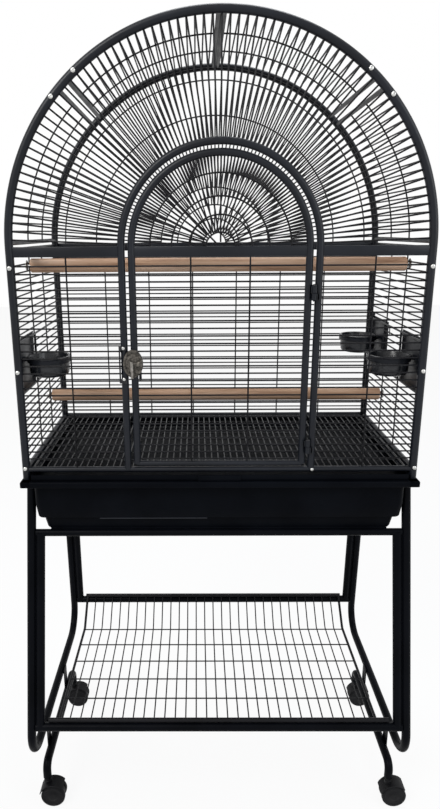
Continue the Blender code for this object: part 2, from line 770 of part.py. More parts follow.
def roof_setback(turn):
    """Degrees from an end of a roof panel to its end bar. The two bars at the crown lie close together."""
    return {0: ROOF_END_TURN, 90: ROOF_CROWN_TURN, 180: ROOF_END_TURN}.get(turn, ROOF_JOINT_TURN)


def roof_panel(name, start, stop):
    """One roof panel of 45 degrees: end bars, arcs, depth wires outside and two hoops inside."""
    low = start + roof_setback(start)
    high = stop - roof_setback(stop)
    half = ROOF_ARC_Y
    first = start + FAN_STEP * 1.5
    turns = [low] + [first + COARSE_BEND * i for i in range(5)] + [high]
    arch_out = ARCH_R + LAYER
    arch_in = ARCH_R - LAYER
    bar_y = half + 0.0042
    bar_paths = [[on_arch(ARCH_R, t, -bar_y), on_arch(ARCH_R, t, bar_y)] for t in (low, high)]
    bars = joined(*[rod(path, STILE_R) for path in bar_paths])
    arc_paths = [[on_arch(ARCH_R, t, y) for t in turns] for y in (-half, half)]
    arcs = joined(*[rod(path, ROOF_ARC_R, resolution=0) for path in arc_paths])
    hoop_paths = [[on_arch(arch_in, t, y) for t in turns] for y in (-half / 3, half / 3)]
    hoops = joined(*[rod(path, WIRE_R, thin=True) for path in hoop_paths])
    numbers = range(1, round((stop - start) / FAN_STEP))
    places = [start + FAN_STEP * i for i in numbers]
    places = [t for t in places if low + ROOF_WIRE_TURN < t < high - ROOF_WIRE_TURN]
    depth = wires([(on_arch(arch_out, t, -half), on_arch(arch_out, t, half)) for t in places])
    add(name, fused(bars, arcs, depth, hoops), COAT)


def perches():
    end = ARCH_R - LAYER - WIRE_R - GAP
    for level, (z, y, radius) in PERCHES.items():
        add(f"perch_{level}", cylinder((-end, y, z), (end, y, z), radius, 12), WOOD)
        for name, side in SIDES.items():
            stud = cylinder((end + GAP, y, z), (ARCH_R + STUD_OUT, y, z), STUD_R, 6)
            washer = cylinder((ARCH_R + WASHER_START, y, z), (ARCH_R + WASHER_END, y, z), WASHER_R, 8)
            nut = cylinder((ARCH_R + WASHER_END - 0.0005, y, z), (ARCH_R + NUT_END, y, z), NUT_R, 6)
            solid = placed(fused(washer, stud, nut), side)
            add(f"perch_nut_{level}_{name}", solid, STEEL)


def panel_bolts():
    """Domed bolt heads where the front panel meets the side and roof panels."""
    front = -PANEL_Y - POST_R - GAP
    places = {}
    for name, side in SIDES.items():
        for level, z in BOLT_HEIGHTS.items():
            places[f"panel_bolt_{level}_{name}"] = Vector((side * ARCH_R, front, z))
        for level, turn in BOLT_TURNS.items():
            spot = on_arch(ARCH_R, turn, front)
            spot.x = side * spot.x
            places[f"panel_bolt_{level}_{name}"] = spot
    for name, spot in places.items():
        top = spot - Vector((0, BOLT_H, 0))
        add(name, cylinder(spot, top, BOLT_R, 8, end_radius=BOLT_TOP_R), STEEL)


def base_pan():
    rim = box((-RIM_HALF_X, -RIM_HALF_Y, RIM_LOW), (RIM_HALF_X, RIM_HALF_Y, RIM_TOP))
    step_x = PAN_STEP_X - PAN_STEP_IN
    step_y = PAN_STEP_Y - PAN_STEP_IN
    body = stacked(
        [
            (PAN_LOW_X, PAN_LOW_Y, PAN_LOW_Z),
            (step_x, step_y, PAN_STEP_Z - PAN_WALL),
            (PAN_STEP_X, PAN_STEP_Y, PAN_STEP_Z),
            (PAN_X, PAN_Y, PAN_CREASE_Z),
            (PAN_X, PAN_Y, RIM_LOW + WELD),
        ]
    )
    hollow = stacked(
        [
            (PAN_LOW_X - PAN_WALL, PAN_LOW_Y - PAN_WALL, PAN_LOW_Z + PAN_WALL),
            (step_x - PAN_WALL, step_y - PAN_WALL, PAN_STEP_Z),
            (PAN_STEP_X - PAN_WALL, PAN_STEP_Y - PAN_WALL, PAN_STEP_Z + PAN_WALL),
            (PAN_X - PAN_WALL, PAN_Y - PAN_WALL, PAN_CREASE_Z),
            (PAN_X - PAN_WALL, PAN_Y - PAN_WALL, RIM_TOP + WELD),
        ]
    )
    folded = box(
        (SHEET - RIM_HALF_X, SHEET - RIM_HALF_Y, RIM_LOW - WELD),
        (RIM_HALF_X - SHEET, RIM_HALF_Y - SHEET, RIM_TOP - SHEET),
    )
    core = box(
        (-PAN_X - SHEET, -PAN_Y - SHEET, RIM_LOW - 2 * WELD),
        (PAN_X + SHEET, PAN_Y + SHEET, RIM_TOP),
    )
    rim = cut(rim, cut(folded, core))
    add("base_pan", cut(fused(rim, body), hollow), PAN_COAT)


def litter_tray():
    low = RIM_TOP + GAP
    outer = box((-TRAY_HALF_X, TRAY_FRONT_Y, low), (TRAY_HALF_X, TRAY_BACK_Y, TRAY_TOP))
    hollow = box(
        (-TRAY_HALF_X + SHEET, TRAY_FRONT_Y + SHEET, low + SHEET),
        (TRAY_HALF_X - SHEET, TRAY_BACK_Y - SHEET, TRAY_TOP + 0.01),
    )
    tab = box(
        (-TAB_HALF_X, TRAY_FRONT_Y - TAB_OUT, low + TAB_INSET),
        (TAB_HALF_X, TRAY_FRONT_Y + WELD, TRAY_TOP - TAB_INSET),
    )
    add("litter_tray", fused(cut(outer, hollow), tab), PAN_COAT)


def floor_grate():
    half_x = GRATE_HALF_X
    half_y = GRATE_HALF_Y
    corners = [(-half_x, -half_y), (half_x, -half_y), (half_x, half_y), (-half_x, half_y)]
    frame = rod([Vector((x, y, GRATE_Z)) for x, y in corners], GRATE_R, closed=True)
    pitch = 2 * half_x / GRATE_BAYS
    xs = [-half_x + pitch * i for i in range(1, GRATE_BAYS)]
    up = GRATE_Z + GRATE_LAYER_UP
    length_wires = wires([((x, -half_y, up), (x, half_y, up)) for x in xs], GRATE_WIRE_R)
    cross_pitch = 2 * half_y / GRATE_CROSS_BAYS
    ys = [-half_y + cross_pitch * i for i in range(1, GRATE_CROSS_BAYS)]
    down = GRATE_Z - GRATE_LAYER_DOWN
    cross_wires = wires([((-half_x, y, down), (half_x, y, down)) for y in ys], GRATE_WIRE_R)
    add("floor_grate", fused(frame, length_wires, cross_wires), COAT)


def leg_point(height):
    """The centre of the rear right leg at a height."""
    share = (LEG_TOP.z - height) / (LEG_TOP.z - LEG_FOOT.z)
    return LEG_TOP.lerp(LEG_FOOT, share)


def stand_side(name, side):
    foot = LEG_FOOT
    corners = [
        Vector((LEG_TOP.x, -LEG_TOP.y, LEG_TOP.z)),
        Vector((foot.x, -foot.y, foot.z)),
        foot,
        LEG_TOP,
    ]
    add(name, placed(rod(filleted(corners, SIDE_BEND_R, 5), STAND_R, resolution=2), side), COAT)


def stand_cross(name, end):
    """The tube frame between the legs at one end: posts beside the legs and two rails."""
    inboard = Vector((2 * STAND_R + GAP, 0, 0))
    outward = Vector((STAND_R, 0, 0))
    top = leg_point(CROSS_TOP_Z) - inboard
    foot = leg_point(SHELF_RAIL_Z) - inboard
    post = rod([foot, top], STAND_R, resolution=2)
    rails = []
    for corner, radius in ((top, CROSS_TOP_R), (foot, STAND_R)):
        rail_end = corner + outward
        rails.append(rod([MIRROR_X @ rail_end, rail_end], radius, resolution=2))
    add(name, placed(fused(rails[0], rails[1], post, placed(post, -1)), 1, end), COAT)


def runner(name, side):
    """The low tube that carries the castors, with two straps that bolt to the side rail."""
    corners = [
        Vector((RUNNER_X, STEM_FRONT_Y, ELBOW_LOW_Z)),
        Vector((RUNNER_X, STEM_FRONT_Y, RUNNER_Z)),
        Vector((RUNNER_X, STEM_REAR_Y, RUNNER_Z)),
        Vector((RUNNER_X, STEM_REAR_Y, ELBOW_LOW_Z)),
    ]
    tube = rod(filleted(corners, RUNNER_BEND_R, 3), STAND_R, resolution=2)
    strap_x = LEG_FOOT.x - STAND_R - GAP
    straps = []
    for y in STRAP_PLACES:
        low = (RUNNER_X + STRAP_INNER, y - STRAP_HALF_Y, STRAP_LOW)
        straps.append(box(low, (strap_x, y + STRAP_HALF_Y, STRAP_TOP)))
    add(name, placed(fused(tube, joined(*straps)), side), COAT)


def shelf_basket():
    rail = leg_point(SHELF_RAIL_Z)
    edge_y = rail.y - SHELF_EDGE_IN
    edge_z = SHELF_RAIL_Z + STAND_R + GAP + SHELF_EDGE_R
    floor_z = SHELF_RAIL_Z - SHELF_DROP
    half_x = rail.x - 3 * STAND_R - GAP - 2 * SHELF_END_INSET
    end_x = half_x - SHELF_END_INSET

    def dip(x, shift=0.0):
        """The path of a wire that dips from one long edge to the floor and up to the other."""
        return [
            Vector((x, -edge_y, edge_z)),
            Vector((x, -SHELF_FLOOR_Y, floor_z + shift)),
            Vector((x, SHELF_FLOOR_Y, floor_z + shift)),
            Vector((x, edge_y, edge_z)),
        ]

    long_edges = [[Vector((-half_x, y, edge_z)), Vector((half_x, y, edge_z))] for y in (-edge_y, edge_y)]
    edges = joined(*[rod(path, SHELF_EDGE_R) for path in long_edges])
    end_rods = joined(*[rod(dip(x, -LAYER), SHELF_END_R) for x in (-end_x, end_x)])
    pitch = 2 * end_x / (SHELF_WIRES - 1)
    xs = [-end_x + pitch * i for i in range(1, SHELF_WIRES - 1)]
    length_wires = joined(*[rod(dip(x), WIRE_R, thin=True) for x in xs])
    ys = [SHELF_CROSS_PITCH * (i - (SHELF_CROSS - 1) / 2) for i in range(SHELF_CROSS)]
    cross_z = floor_z - 2 * WIRE_R - GAP
    cross_wires = wires([((-end_x, y, cross_z), (end_x, y, cross_z)) for y in ys])
    add("shelf_basket", fused(edges, end_rods, length_wires, cross_wires), COAT)


def castor(name, side, stem_y):
    """A twin-wheel castor: the hooded fork turns about its stem, the wheel pair rolls in it."""
    stem_x = side * RUNNER_X
    axle = Vector((stem_x + WHEEL_TRAIL, stem_y, WHEEL_R))
    across = Vector((0, 1, 0))
    neck = cylinder((stem_x, stem_y, NECK_LOW), (stem_x, stem_y, ELBOW_LOW_Z - GAP), NECK_R, 6)
    web = cylinder(axle - across * WEB_HALF_Y, axle + across * WEB_HALF_Y, WEB_R, 12)
    hood_outline = [
        (HOOD_OUTER_R, -HOOD_HALF_Y),
        (HOOD_OUTER_R, HOOD_HALF_Y),
        (HOOD_INNER_R, HOOD_HALF_Y),
        (HOOD_INNER_R, -HOOD_HALF_Y),
    ]
    hood = turned(hood_outline, (0, 0, 0), 14)
    hood = moved(hood, Matrix.Translation(axle) @ Matrix.Rotation(math.pi / 2, 4, "X"))
    keep = box(axle + Vector((-0.04, -0.03, HOOD_LOW)), axle + Vector((HOOD_FRONT, 0.03, 0.04)))
    hood = combined(hood, "INTERSECT", [keep])
    tie_low = axle + Vector((-TIE_HALF_X, -TIE_HALF_Y, TIE_LOW))
    tie = box(tie_low, axle + Vector((TIE_HALF_X, TIE_HALF_Y, TIE_TOP)))
    bore = cylinder(axle - across * 0.01, axle + across * 0.01, AXLE_BORE_R, 6)
    fork = cut(fused(web, tie, hood, neck), bore)
    made = add(f"castor_fork_{name}", fork, TYRE)
    set_origin(made, (stem_x, stem_y, WHEEL_R))
    shaft = cylinder(axle - across * AXLE_HALF_L, axle + across * AXLE_HALF_L, AXLE_R, 6)
    half_step = math.pi / WHEEL_SIDES
    flat_down = Matrix.Translation(axle) @ Matrix.Rotation(half_step, 4, "Y") @ Matrix.Translation(-axle)
    discs = []
    for way in (-1, 1):
        inner = axle + across * WHEEL_INNER_Y * way
        outer = axle + across * WHEEL_OUTER_Y * way
        disc = cylinder(inner, outer, WHEEL_R / math.cos(half_step), WHEEL_SIDES)
        discs.append(moved(disc, flat_down))
    made = add(f"castor_wheels_{name}", fused(shaft, *discs), TYRE)
    set_origin(made, axle)


def build():
    front_panel()
    rear_panel()
    door()
    latch()
    for name, side in SIDES.items():
        side_panel(f"side_panel_{name}", side, [ENDS[place] for place in FEEDERS[name]])
        stand_side(f"stand_side_{name}", side)
        runner(f"castor_runner_{name}", side)
        for place in FEEDERS[name]:
            feeder(f"{place}_{name}", side, ENDS[place])
        for place, end in ENDS.items():
            castor(f"{place}_{name}", side, STEM_FRONT_Y if end < 0 else STEM_REAR_Y)
    for name, end in ENDS.items():
        stand_cross(f"stand_cross_{name}", end)
    for number, name in enumerate(("right_low", "right_high", "left_high", "left_low")):
        roof_panel(f"roof_panel_{name}", 45 * number, 45 * (number + 1))
    perches()
    panel_bolts()
    base_pan()
    litter_tray()
    floor_grate()
    shelf_basket()


build()
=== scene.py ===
"""Looks of an arch-topped parrot cage on a castored tube stand.

Metres, +Z up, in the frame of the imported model. X runs left to right seen from the door, and the
door faces -Y. Every wired panel, tube, bowl and castor is modelled again with round sections.
"""

import math

import bmesh
import bpy
from mathutils import Matrix, Vector


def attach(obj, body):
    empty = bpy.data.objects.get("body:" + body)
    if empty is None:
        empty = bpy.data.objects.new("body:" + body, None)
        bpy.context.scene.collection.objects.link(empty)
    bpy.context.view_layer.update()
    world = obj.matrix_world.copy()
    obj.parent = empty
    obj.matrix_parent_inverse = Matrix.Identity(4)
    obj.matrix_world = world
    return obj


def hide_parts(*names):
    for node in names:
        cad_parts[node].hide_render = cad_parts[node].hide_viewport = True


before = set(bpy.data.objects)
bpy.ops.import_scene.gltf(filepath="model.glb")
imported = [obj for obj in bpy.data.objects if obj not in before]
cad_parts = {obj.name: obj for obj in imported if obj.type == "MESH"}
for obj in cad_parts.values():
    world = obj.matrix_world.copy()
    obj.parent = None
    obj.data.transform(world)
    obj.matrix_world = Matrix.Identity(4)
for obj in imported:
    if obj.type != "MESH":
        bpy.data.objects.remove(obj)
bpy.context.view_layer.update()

# Cage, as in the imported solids
HALF_WIDTH = 0.360
PANEL_Y = 0.179
ARCH_Z = 1.138
POST_R = 0.007
ARCH_R = HALF_WIDTH - POST_R
BASE_RAIL_Z = 0.745
BASE_RAIL_R = 0.005
BAND_LOW = 1.1235
BAND_HIGH = 1.1405
BAND_T = 0.0066
RIM_TOP = 0.7266
GAP = 0.0003

# Wires: crossing wires lie in two layers that sink into each other a little, as if welded
WIRE_R = 0.00145
WIRE_SIDES = 8
LAYER = 0.0011
FAN_STEP = 2.25
FAN_CLEAR = 0.0030
HUB_START = 0.009
ROW_TOP = 1.1216
ROW_PITCH = 0.0132
ROWS = range(1, 28)
FAN_RINGS = (0.025, 0.053, 0.082, 0.118)
REAR_RINGS = (0.261, 0.329)
RING_FOOT = 0.006
UPRIGHT_TOP = 1.129
REAR_UPRIGHT_PITCH = 0.098
SIDE_UPRIGHT_Y = 0.050
DOOR_UPRIGHT_X = 0.050

# Door
JAMB_R = 0.1662
DOOR_R = 0.149
DOOR_TUBE_R = 0.00625
DOOR_BASE_Z = 0.7565
HINGE_X = (JAMB_R + DOOR_R) / 2
HINGE_Y = -PANEL_Y - 0.0095
HINGE_HEIGHTS = {"upper": 1.063, "lower": 0.790}
KNUCKLE_R = 0.0045
KNUCKLE_L = 0.012
KNUCKLE_BORE_R = 0.0022
LEAF_BACK = 0.0010
LEAF_FRONT = 0.0015
LEAF_INSET = 0.001
PIN_R = 0.0020
PIN_HEAD_R = 0.0040
PIN_TAIL = 0.002

# Latch
LATCH_Z = 0.9434
LATCH_X = -0.1390
LATCH_PLATE_X = -0.1508
LATCH_PLATE_R = 0.0175
LATCH_PLATE_STRETCH = 1.40
SPINDLE_R = 0.0030
SPINDLE_BOSS_R = 0.0058
CRANK_HALF_Z = 0.0034
CRANK_DEPTHS = (0.0120, 0.0090)
LEVER_X = -0.1527
LEVER_LEAN = 0.0002
LEVER_DEPTH = 0.0112
LEVER_LEVELS = ((0.0050, 0.0026), (0.0, 0.0036), (-0.0120, 0.0028), (-0.0245, 0.0024))
FINGER_LEFT = 0.0036
FINGER_RIGHT = 0.0012
FINGER_DROP = 0.0330
FINGER_TOP = 0.0050
FINGER_DEPTHS = (0.0010, 0.0035)
CLIP_LOW = 0.908
CLIP_TOP = 0.974
CLIP_T = 0.002
CLIP_STANDOFF = 0.0008
CLIP_FRONT = 0.0025
CLIP_BACK = 0.005
CLIP_TONGUES = (0.908, 0.966)
CLIP_TONGUE_H = 0.008
CLIP_TONGUE_X = -0.1625
CLIP_RIVET_X = -0.1672
CLIP_RIVETS = (0.9155, 0.970)
CLIP_RIVET_R = 0.0028
CLIP_RIVET_H = 0.0014
JAMB_RIVET_SHIFT = 0.002
JAMB_RIVET_Z = 0.7455
JAMB_RIVET_R = 0.0032
JAMB_RIVET_H = 0.0016

# Side panels
THICK_ROW_R = 0.002
FEEDER_BAR_R = 0.0019
LEDGE_OUT = 0.017
LEDGE_HALF_Y = 0.158
LEDGE_LOW = 0.7392
LEDGE_TOP = 0.7412
STRIP_HALF_T = 0.001
LUG_Y = 0.157
LUG_H = 0.005

# Feeders
STILE_R = 0.004
STILE_Y = PANEL_Y - POST_R - STILE_R - 0.0005
FEEDER_ROWS = (11, 18)
FEEDER_INNER_Y = 0.054
FEEDER_HINGE_Y = 0.160
FEEDER_AXIS_X = 0.3575
FEEDER_EDGE_Y = 0.048
FEEDER_LOW = ROW_TOP - ROW_PITCH * FEEDER_ROWS[1] - 0.0045
FEEDER_TOP = ROW_TOP - ROW_PITCH * FEEDER_ROWS[0] + 0.0045
RING_R = 0.040
BOWL_R = 0.0365
BOWL_RIM_Z = 0.945
BOWL_H = 0.036
BOWL_X = FEEDER_AXIS_X - RING_R - 0.005
BOWL_Y = FEEDER_HINGE_Y - RING_R - 0.004
BOWL_LIP = 0.0025
BOWL_WALL = 0.0022
FEEDER_PIVOT_R = 0.0022
FEEDER_PLATE_HALF_T = 0.0009
ARM_HALF_Y = 0.008
ARM_HALF_Z = 0.003
CATCH_Y = 0.044
CATCH_Z = 0.963
CATCH_HALF_Y = 0.007
CATCH_HALF_Z = 0.010
CATCH_R = 0.0011

# Roof panels of 45 degrees, with end bars a little inside their ends
ROOF_END_TURN = 1.42
ROOF_JOINT_TURN = 1.70
ROOF_CROWN_TURN = 0.74
ROOF_WIRE_TURN = 1.0
ROOF_ARC_R = 0.0038
ROOF_ARC_Y = PANEL_Y - POST_R - 0.0005 - ROOF_ARC_R
ROOF_BAR_PAST = 0.0042
ROOF_STEPS = 24
CROWN_HALF_X = 0.0012
CROWN_HALF_Z = 0.0026

PERCHES = {"upper": (1.104, -0.055, 0.013), "lower": (0.8272, 0.055, 0.0135)}
PERCH_CHAMFER = 0.0015
PERCH_END = ARCH_R - 0.0016 - 0.0014 - GAP
WASHER_OUT = 0.0034
NUT_OUT = 0.0050
BOLT_R = 0.0038
BOLT_H = 0.0022
BOLT_HEIGHTS = {"upper": 1.106, "middle": 0.9276, "lower": 0.7488}
BOLT_TURNS = {"roof_low": 40.8, "roof_high": 49.3}

# Base
RIM_HALF_X = 0.3625
RIM_HALF_Y = 0.198
RIM_LOW = 0.715
PAN_TOP = (0.3445, 0.176)
PAN_CREASE_Z = 0.673
PAN_STEP = (0.3415, 0.172)
PAN_STEP_Z = 0.646
PAN_STEP_IN = 0.0085
PAN_LOW = (0.3285, 0.1595)
PAN_LOW_Z = 0.6168
PAN_CORNER_R = 0.012
PAN_WALL = 0.002
# Seam bead on the pan front, only across its left part: painted highlight of the pan's lower edge
HIGHLIGHT_SEAM_X = (-0.224, -0.022)
SEAM_IN = 0.0012
SEAM_DROP = 0.0022
SEAM_R = 0.0013
SEAT_IN = 0.008
SEAT_INNER_Y = 0.1545
SEAT_LOW = 0.0022
SEAT_HIGH = 0.0020
SHEET = 0.0016
TRAY_HALF_X = 0.3435
TRAY_FRONT_Y = -0.1915
TRAY_BACK_Y = 0.166
TRAY_TOP = 0.7382
TRAY_TAB_HALF_X = 0.039
TRAY_TAB_OUT = 0.0025
GRATE_R = 0.0025
GRATE_Z = 0.7412 + GAP + GRATE_R
GRATE_HALF_X = 0.342
GRATE_HALF_Y = 0.168
GRATE_BAYS = 56
GRATE_CROSS_BAYS = 8
GRATE_WIRE_R = 0.0012
GRATE_LAYER = 0.001
GRATE_CORNER_R = 0.006

# Stand
STAND_R = 0.0085
STAND_SIDES = 22
HOOP_BEND = 0.055
STAND_WEB_R = 0.0028
LEG_TOP = Vector((0.3545, 0.144, 0.7130))
LEG_FOOT = Vector((0.3715, 0.239, 0.142))
CROSS_TOP_Z = 0.6094
CROSS_TOP_R = 0.0070
SHELF_RAIL_Z = 0.2205
SHELF_EDGE_R = 0.0045
SHELF_EDGE_IN = 0.003
SHELF_END_R = 0.003
SHELF_DROP = 0.0425
SHELF_FLOOR_Y = 0.160
SHELF_WIRES = 31
SHELF_CROSS = 6
SHELF_CROSS_PITCH = 0.0624
SHELF_IN = 0.008
SHELF_END_IN = 0.004
SHELF_BEND = 0.012
RUNNER_X = 0.356
RUNNER_Z = 0.096
RUNNER_BEND = 0.018
STRAP_PLACES = (-0.135, 0.045)
STRAP_HALF_Y = 0.014
STRAP_IN = 0.0053
STRAP_LOW = 0.004
STRAP_TOP = 0.150
STEM_Y = {"front": -0.191, "rear": 0.100}
ELBOW_LOW_Z = 0.0640
WHEEL_R = 0.025
WHEEL_TRAIL = 0.0115
WHEEL_SHAFT_R = 0.0034
WHEEL_SHAFT_HALF = 0.012
CASTOR_TIE_HALF_X = 0.012
CASTOR_TIE_HALF_Y = 0.0044
CASTOR_TIE_HEIGHTS = (0.009, 0.0250)
HOOD_OUTER_R = 0.0285
HOOD_INNER_R = 0.0267
HOOD_HALF_Y = 0.0155
HOOD_EDGE = 0.0008
HOOD_TURNS = (41.6, 164.0)
HOOD_STEPS = 24

# Stage and camera
FLOOR_HALF = 9
FLOOR_SHOWN = 0.92
SKY_STRENGTH = 0.45
LAMP_TARGET = (0, 0, 0.9)
CAMERA_PLACE = (-0.0406, -1.2688, 1.165)
CAMERA_HEADING = 0.41
CAMERA_PITCH = 74.72
CAMERA_ROLL = -0.32
CAMERA_LENS = 28.28
CAMERA_SHIFT = 0.0341

SIDES = {"left": -1, "right": 1}
ENDS = {"front": -1, "rear": 1}
FEEDERS = {"left": ("front",), "right": ("front", "rear")}
CAGE = "cage_and_stand"


def new_material(name, roughness, metallic=0.0, specular=0.5):
    made = bpy.data.materials.new(name)
    made.use_nodes = True
    shader = made.node_tree.nodes["Principled BSDF"]
    shader.inputs["Roughness"].default_value = roughness
    shader.inputs["Metallic"].default_value = metallic
    shader.inputs["Specular IOR Level"].default_value = specular
    return made, made.node_tree, shader


def noise(tree, scale, detail=3.0, stretch=(1, 1, 1)):
    """Noise in the object's own metres, stretched by a factor along each axis."""
    place = tree.nodes.new("ShaderNodeTexCoord")
    mapping = tree.nodes.new("ShaderNodeMapping")
    mapping.inputs["Scale"].default_value = stretch
    grain = tree.nodes.new("ShaderNodeTexNoise")
    grain.inputs["Scale"].default_value = scale
    grain.inputs["Detail"].default_value = detail
    tree.links.new(place.outputs["Object"], mapping.inputs["Vector"])
    tree.links.new(mapping.outputs["Vector"], grain.inputs["Vector"])
    return grain.outputs["Fac"]


def ramp(tree, value, stops):
    """A colour ramp; stops are (place, colour) pairs."""
    made = tree.nodes.new("ShaderNodeValToRGB")
    band = made.color_ramp
    while len(band.elements) < len(stops):
        band.elements.new(1.0)
    for element, (place, colour) in zip(band.elements, stops):
        element.position = place
        element.color = (*colour, 1.0)
    tree.links.new(value, made.inputs["Fac"])
    return made.outputs["Color"]


def spread(tree, value, low, high):
    """Maps 0.3 to 0.7 of a noise onto low to high."""
    made = tree.nodes.new("ShaderNodeMapRange")
    made.inputs["From Min"].default_value = 0.3
    made.inputs["From Max"].default_value = 0.7
    made.inputs["To Min"].default_value = low
    made.inputs["To Max"].default_value = high
    tree.links.new(value, made.inputs["Value"])
    return made.outputs["Result"]


def bump(tree, shader, height, distance, strength=1.0):
    made = tree.nodes.new("ShaderNodeBump")
    made.inputs["Distance"].default_value = distance
    made.inputs["Strength"].default_value = strength
    tree.links.new(height, made.inputs["Height"])
    tree.links.new(made.outputs["Normal"], shader.inputs["Normal"])


def coat_material(name, dark, light, low, high, peel=0.00008, specular=0.5):
    """Powder coat: cloudy colour and gloss, and a fine orange-peel surface."""
    made, tree, shader = new_material(name, (low + high) / 2, specular=specular)
    clouds = noise(tree, 9.0)
    tree.links.new(ramp(tree, clouds, [(0.35, dark), (0.7, light)]), shader.inputs["Base Color"])
    tree.links.new(spread(tree, noise(tree, 40.0, 4.0), low, high), shader.inputs["Roughness"])
    bump(tree, shader, noise(tree, 900.0, 2.0), peel)
    return made


def metal_material(name, dark, light, low, high, scale, depth, metallic=1.0):
    """Plated or cast metal with a mottled colour, uneven gloss and a grained surface."""
    made, tree, shader = new_material(name, (low + high) / 2, metallic)
    tree.links.new(ramp(tree, noise(tree, scale), [(0.3, dark), (0.7, light)]), shader.inputs["Base Color"])
    tree.links.new(spread(tree, noise(tree, scale * 2), low, high), shader.inputs["Roughness"])
    bump(tree, shader, noise(tree, scale * 3, 5.0), depth)
    return made


def wood_material():
    """Turned softwood: grain that runs along X, darker streaks and a few pores."""
    made, tree, shader = new_material("perch_wood_grain", 0.58, specular=0.3)
    grain = noise(tree, 90.0, 6.0, (0.05, 1, 1))
    stops = [(0.30, (0.31, 0.165, 0.095)), (0.48, (0.54, 0.335, 0.215)), (0.70, (0.72, 0.50, 0.36))]
    tree.links.new(ramp(tree, grain, stops), shader.inputs["Base Color"])
    tree.links.new(spread(tree, grain, 0.70, 0.48), shader.inputs["Roughness"])
    bump(tree, shader, noise(tree, 260.0, 4.0, (0.04, 1, 1)), 0.0003)
    return made


COAT = coat_material(
    "black_powder_coat", (0.004, 0.005, 0.008), (0.009, 0.011, 0.016),
    0.30, 0.42, specular=0.24,
)
# A darker, less glossy copy of the black coat for the stand: painted shade of the lower part, which lies in
# shade
SHADED_STAND_COAT = coat_material(
    "black_stand_coat_painted_shade", (0.0016, 0.002, 0.003), (0.0035, 0.004, 0.006),
    0.30, 0.44, specular=0.04,
)
WIRE_COAT = coat_material(
    "black_wire_coat", (0.003, 0.003, 0.004), (0.006, 0.006, 0.008),
    0.40, 0.52, 0.00004, 0.15,
)
GRATE_COAT = coat_material(
    "black_grate_coat", (0.003, 0.004, 0.006), (0.008, 0.009, 0.012),
    0.24, 0.38, 0.00004, 0.24,
)
# A darker copy of the black coat for the base pan, its seat strips and the tray: painted shade of the lower
# part, which lies in shade
SHADED_PAN_COAT = coat_material(
    "black_pan_coat_painted_shade", (0.0014, 0.0018, 0.003), (0.0032, 0.004, 0.006),
    0.36, 0.50, 0.00010, 0.03,
)
BOWL = coat_material(
    "black_bowl_plastic", (0.010, 0.011, 0.014), (0.018, 0.020, 0.024),
    0.20, 0.32, 0.00003, 0.50,
)
TYRE = coat_material(
    "black_castor_plastic", (0.004, 0.004, 0.005), (0.009, 0.009, 0.010),
    0.42, 0.60, 0.00012, 0.12,
)
STEEL = metal_material(
    "zinc_plate", (0.42, 0.42, 0.41), (0.72, 0.72, 0.70),
    0.26, 0.42, 180.0, 0.00004,
)
DARK_STEEL = metal_material(
    "black_zinc", (0.012, 0.012, 0.014), (0.035, 0.035, 0.038),
    0.32, 0.48, 180.0, 0.00004, 0.7,
)
CAST = metal_material(
    "pewter_cast", (0.008, 0.007, 0.006), (0.15, 0.135, 0.115),
    0.42, 0.60, 230.0, 0.00040, 0.6,
)
# A lighter copy of the pewter for the turn lever: painted highlight along the lever
HIGHLIGHT_CAST = metal_material(
    "pewter_painted_highlight", (0.149, 0.136, 0.124), (0.372, 0.353, 0.322),
    0.30, 0.46, 220.0, 0.00012, 0.9,
)
WOOD = wood_material()


def sweep(work, points, radius, sides=10, closed=False):
    """Adds a round tube along the points, with flat ends unless it is closed."""
    points = [Vector(point) for point in points]
    count = len(points)
    rings = []
    side = None
    for i, point in enumerate(points):
        before = points[i - 1] if i or closed else point
        after = points[(i + 1) % count] if i < count - 1 or closed else point
        along = ((point - before).normalized() + (after - point).normalized()).normalized()
        side = along.orthogonal() if side is None else side - along * side.dot(along)
        side.normalize()
        up = along.cross(side)
        turns = [2 * math.pi * j / sides for j in range(sides)]
        spokes = [side * math.cos(t) + up * math.sin(t) for t in turns]
        rings.append([work.verts.new(point + spoke * radius) for spoke in spokes])
    pairs = list(zip(rings, rings[1:])) + ([(rings[-1], rings[0])] if closed else [])
    for low, high in pairs:
        for j in range(sides):
            k = (j + 1) % sides
            work.faces.new((low[j], low[k], high[k], high[j]))
    if not closed:
        work.faces.new(rings[0][::-1])
        work.faces.new(rings[-1])


def filleted(corners, radius, steps=10):
    """The points of a path whose inner corners are rounded."""
    corners = [Vector(corner) for corner in corners]
    path = [corners[0]]
    for before, corner, after in zip(corners, corners[1:], corners[2:]):
        back = (before - corner).normalized()
        ahead = (after - corner).normalized()
        half = back.angle(ahead) / 2
        middle = corner + (back + ahead).normalized() * (radius / math.sin(half))
        first = corner + back * (radius / math.tan(half)) - middle
        last = corner + ahead * (radius / math.tan(half)) - middle
        sweep_turn = first.angle(last)
        for i in range(steps + 1):
            share = i / steps
            blend = first * math.sin((1 - share) * sweep_turn) + last * math.sin(share * sweep_turn)
            path.append(middle + blend / math.sin(sweep_turn))
    return path + [corners[-1]]


def block(work, low, high, bevel=0.0008, segments=2):
    """Adds a box with rounded edges."""
    low, high = Vector(low), Vector(high)
    made = bmesh.ops.create_cube(work, size=1.0)["verts"]
    bmesh.ops.scale(work, vec=high - low, verts=made)
    bmesh.ops.translate(work, vec=(low + high) / 2, verts=made)
    edges = list(dict.fromkeys(edge for point in made for edge in point.link_edges))
    bmesh.ops.bevel(work, geom=edges, offset=bevel, segments=segments, profile=0.5, affect="EDGES")


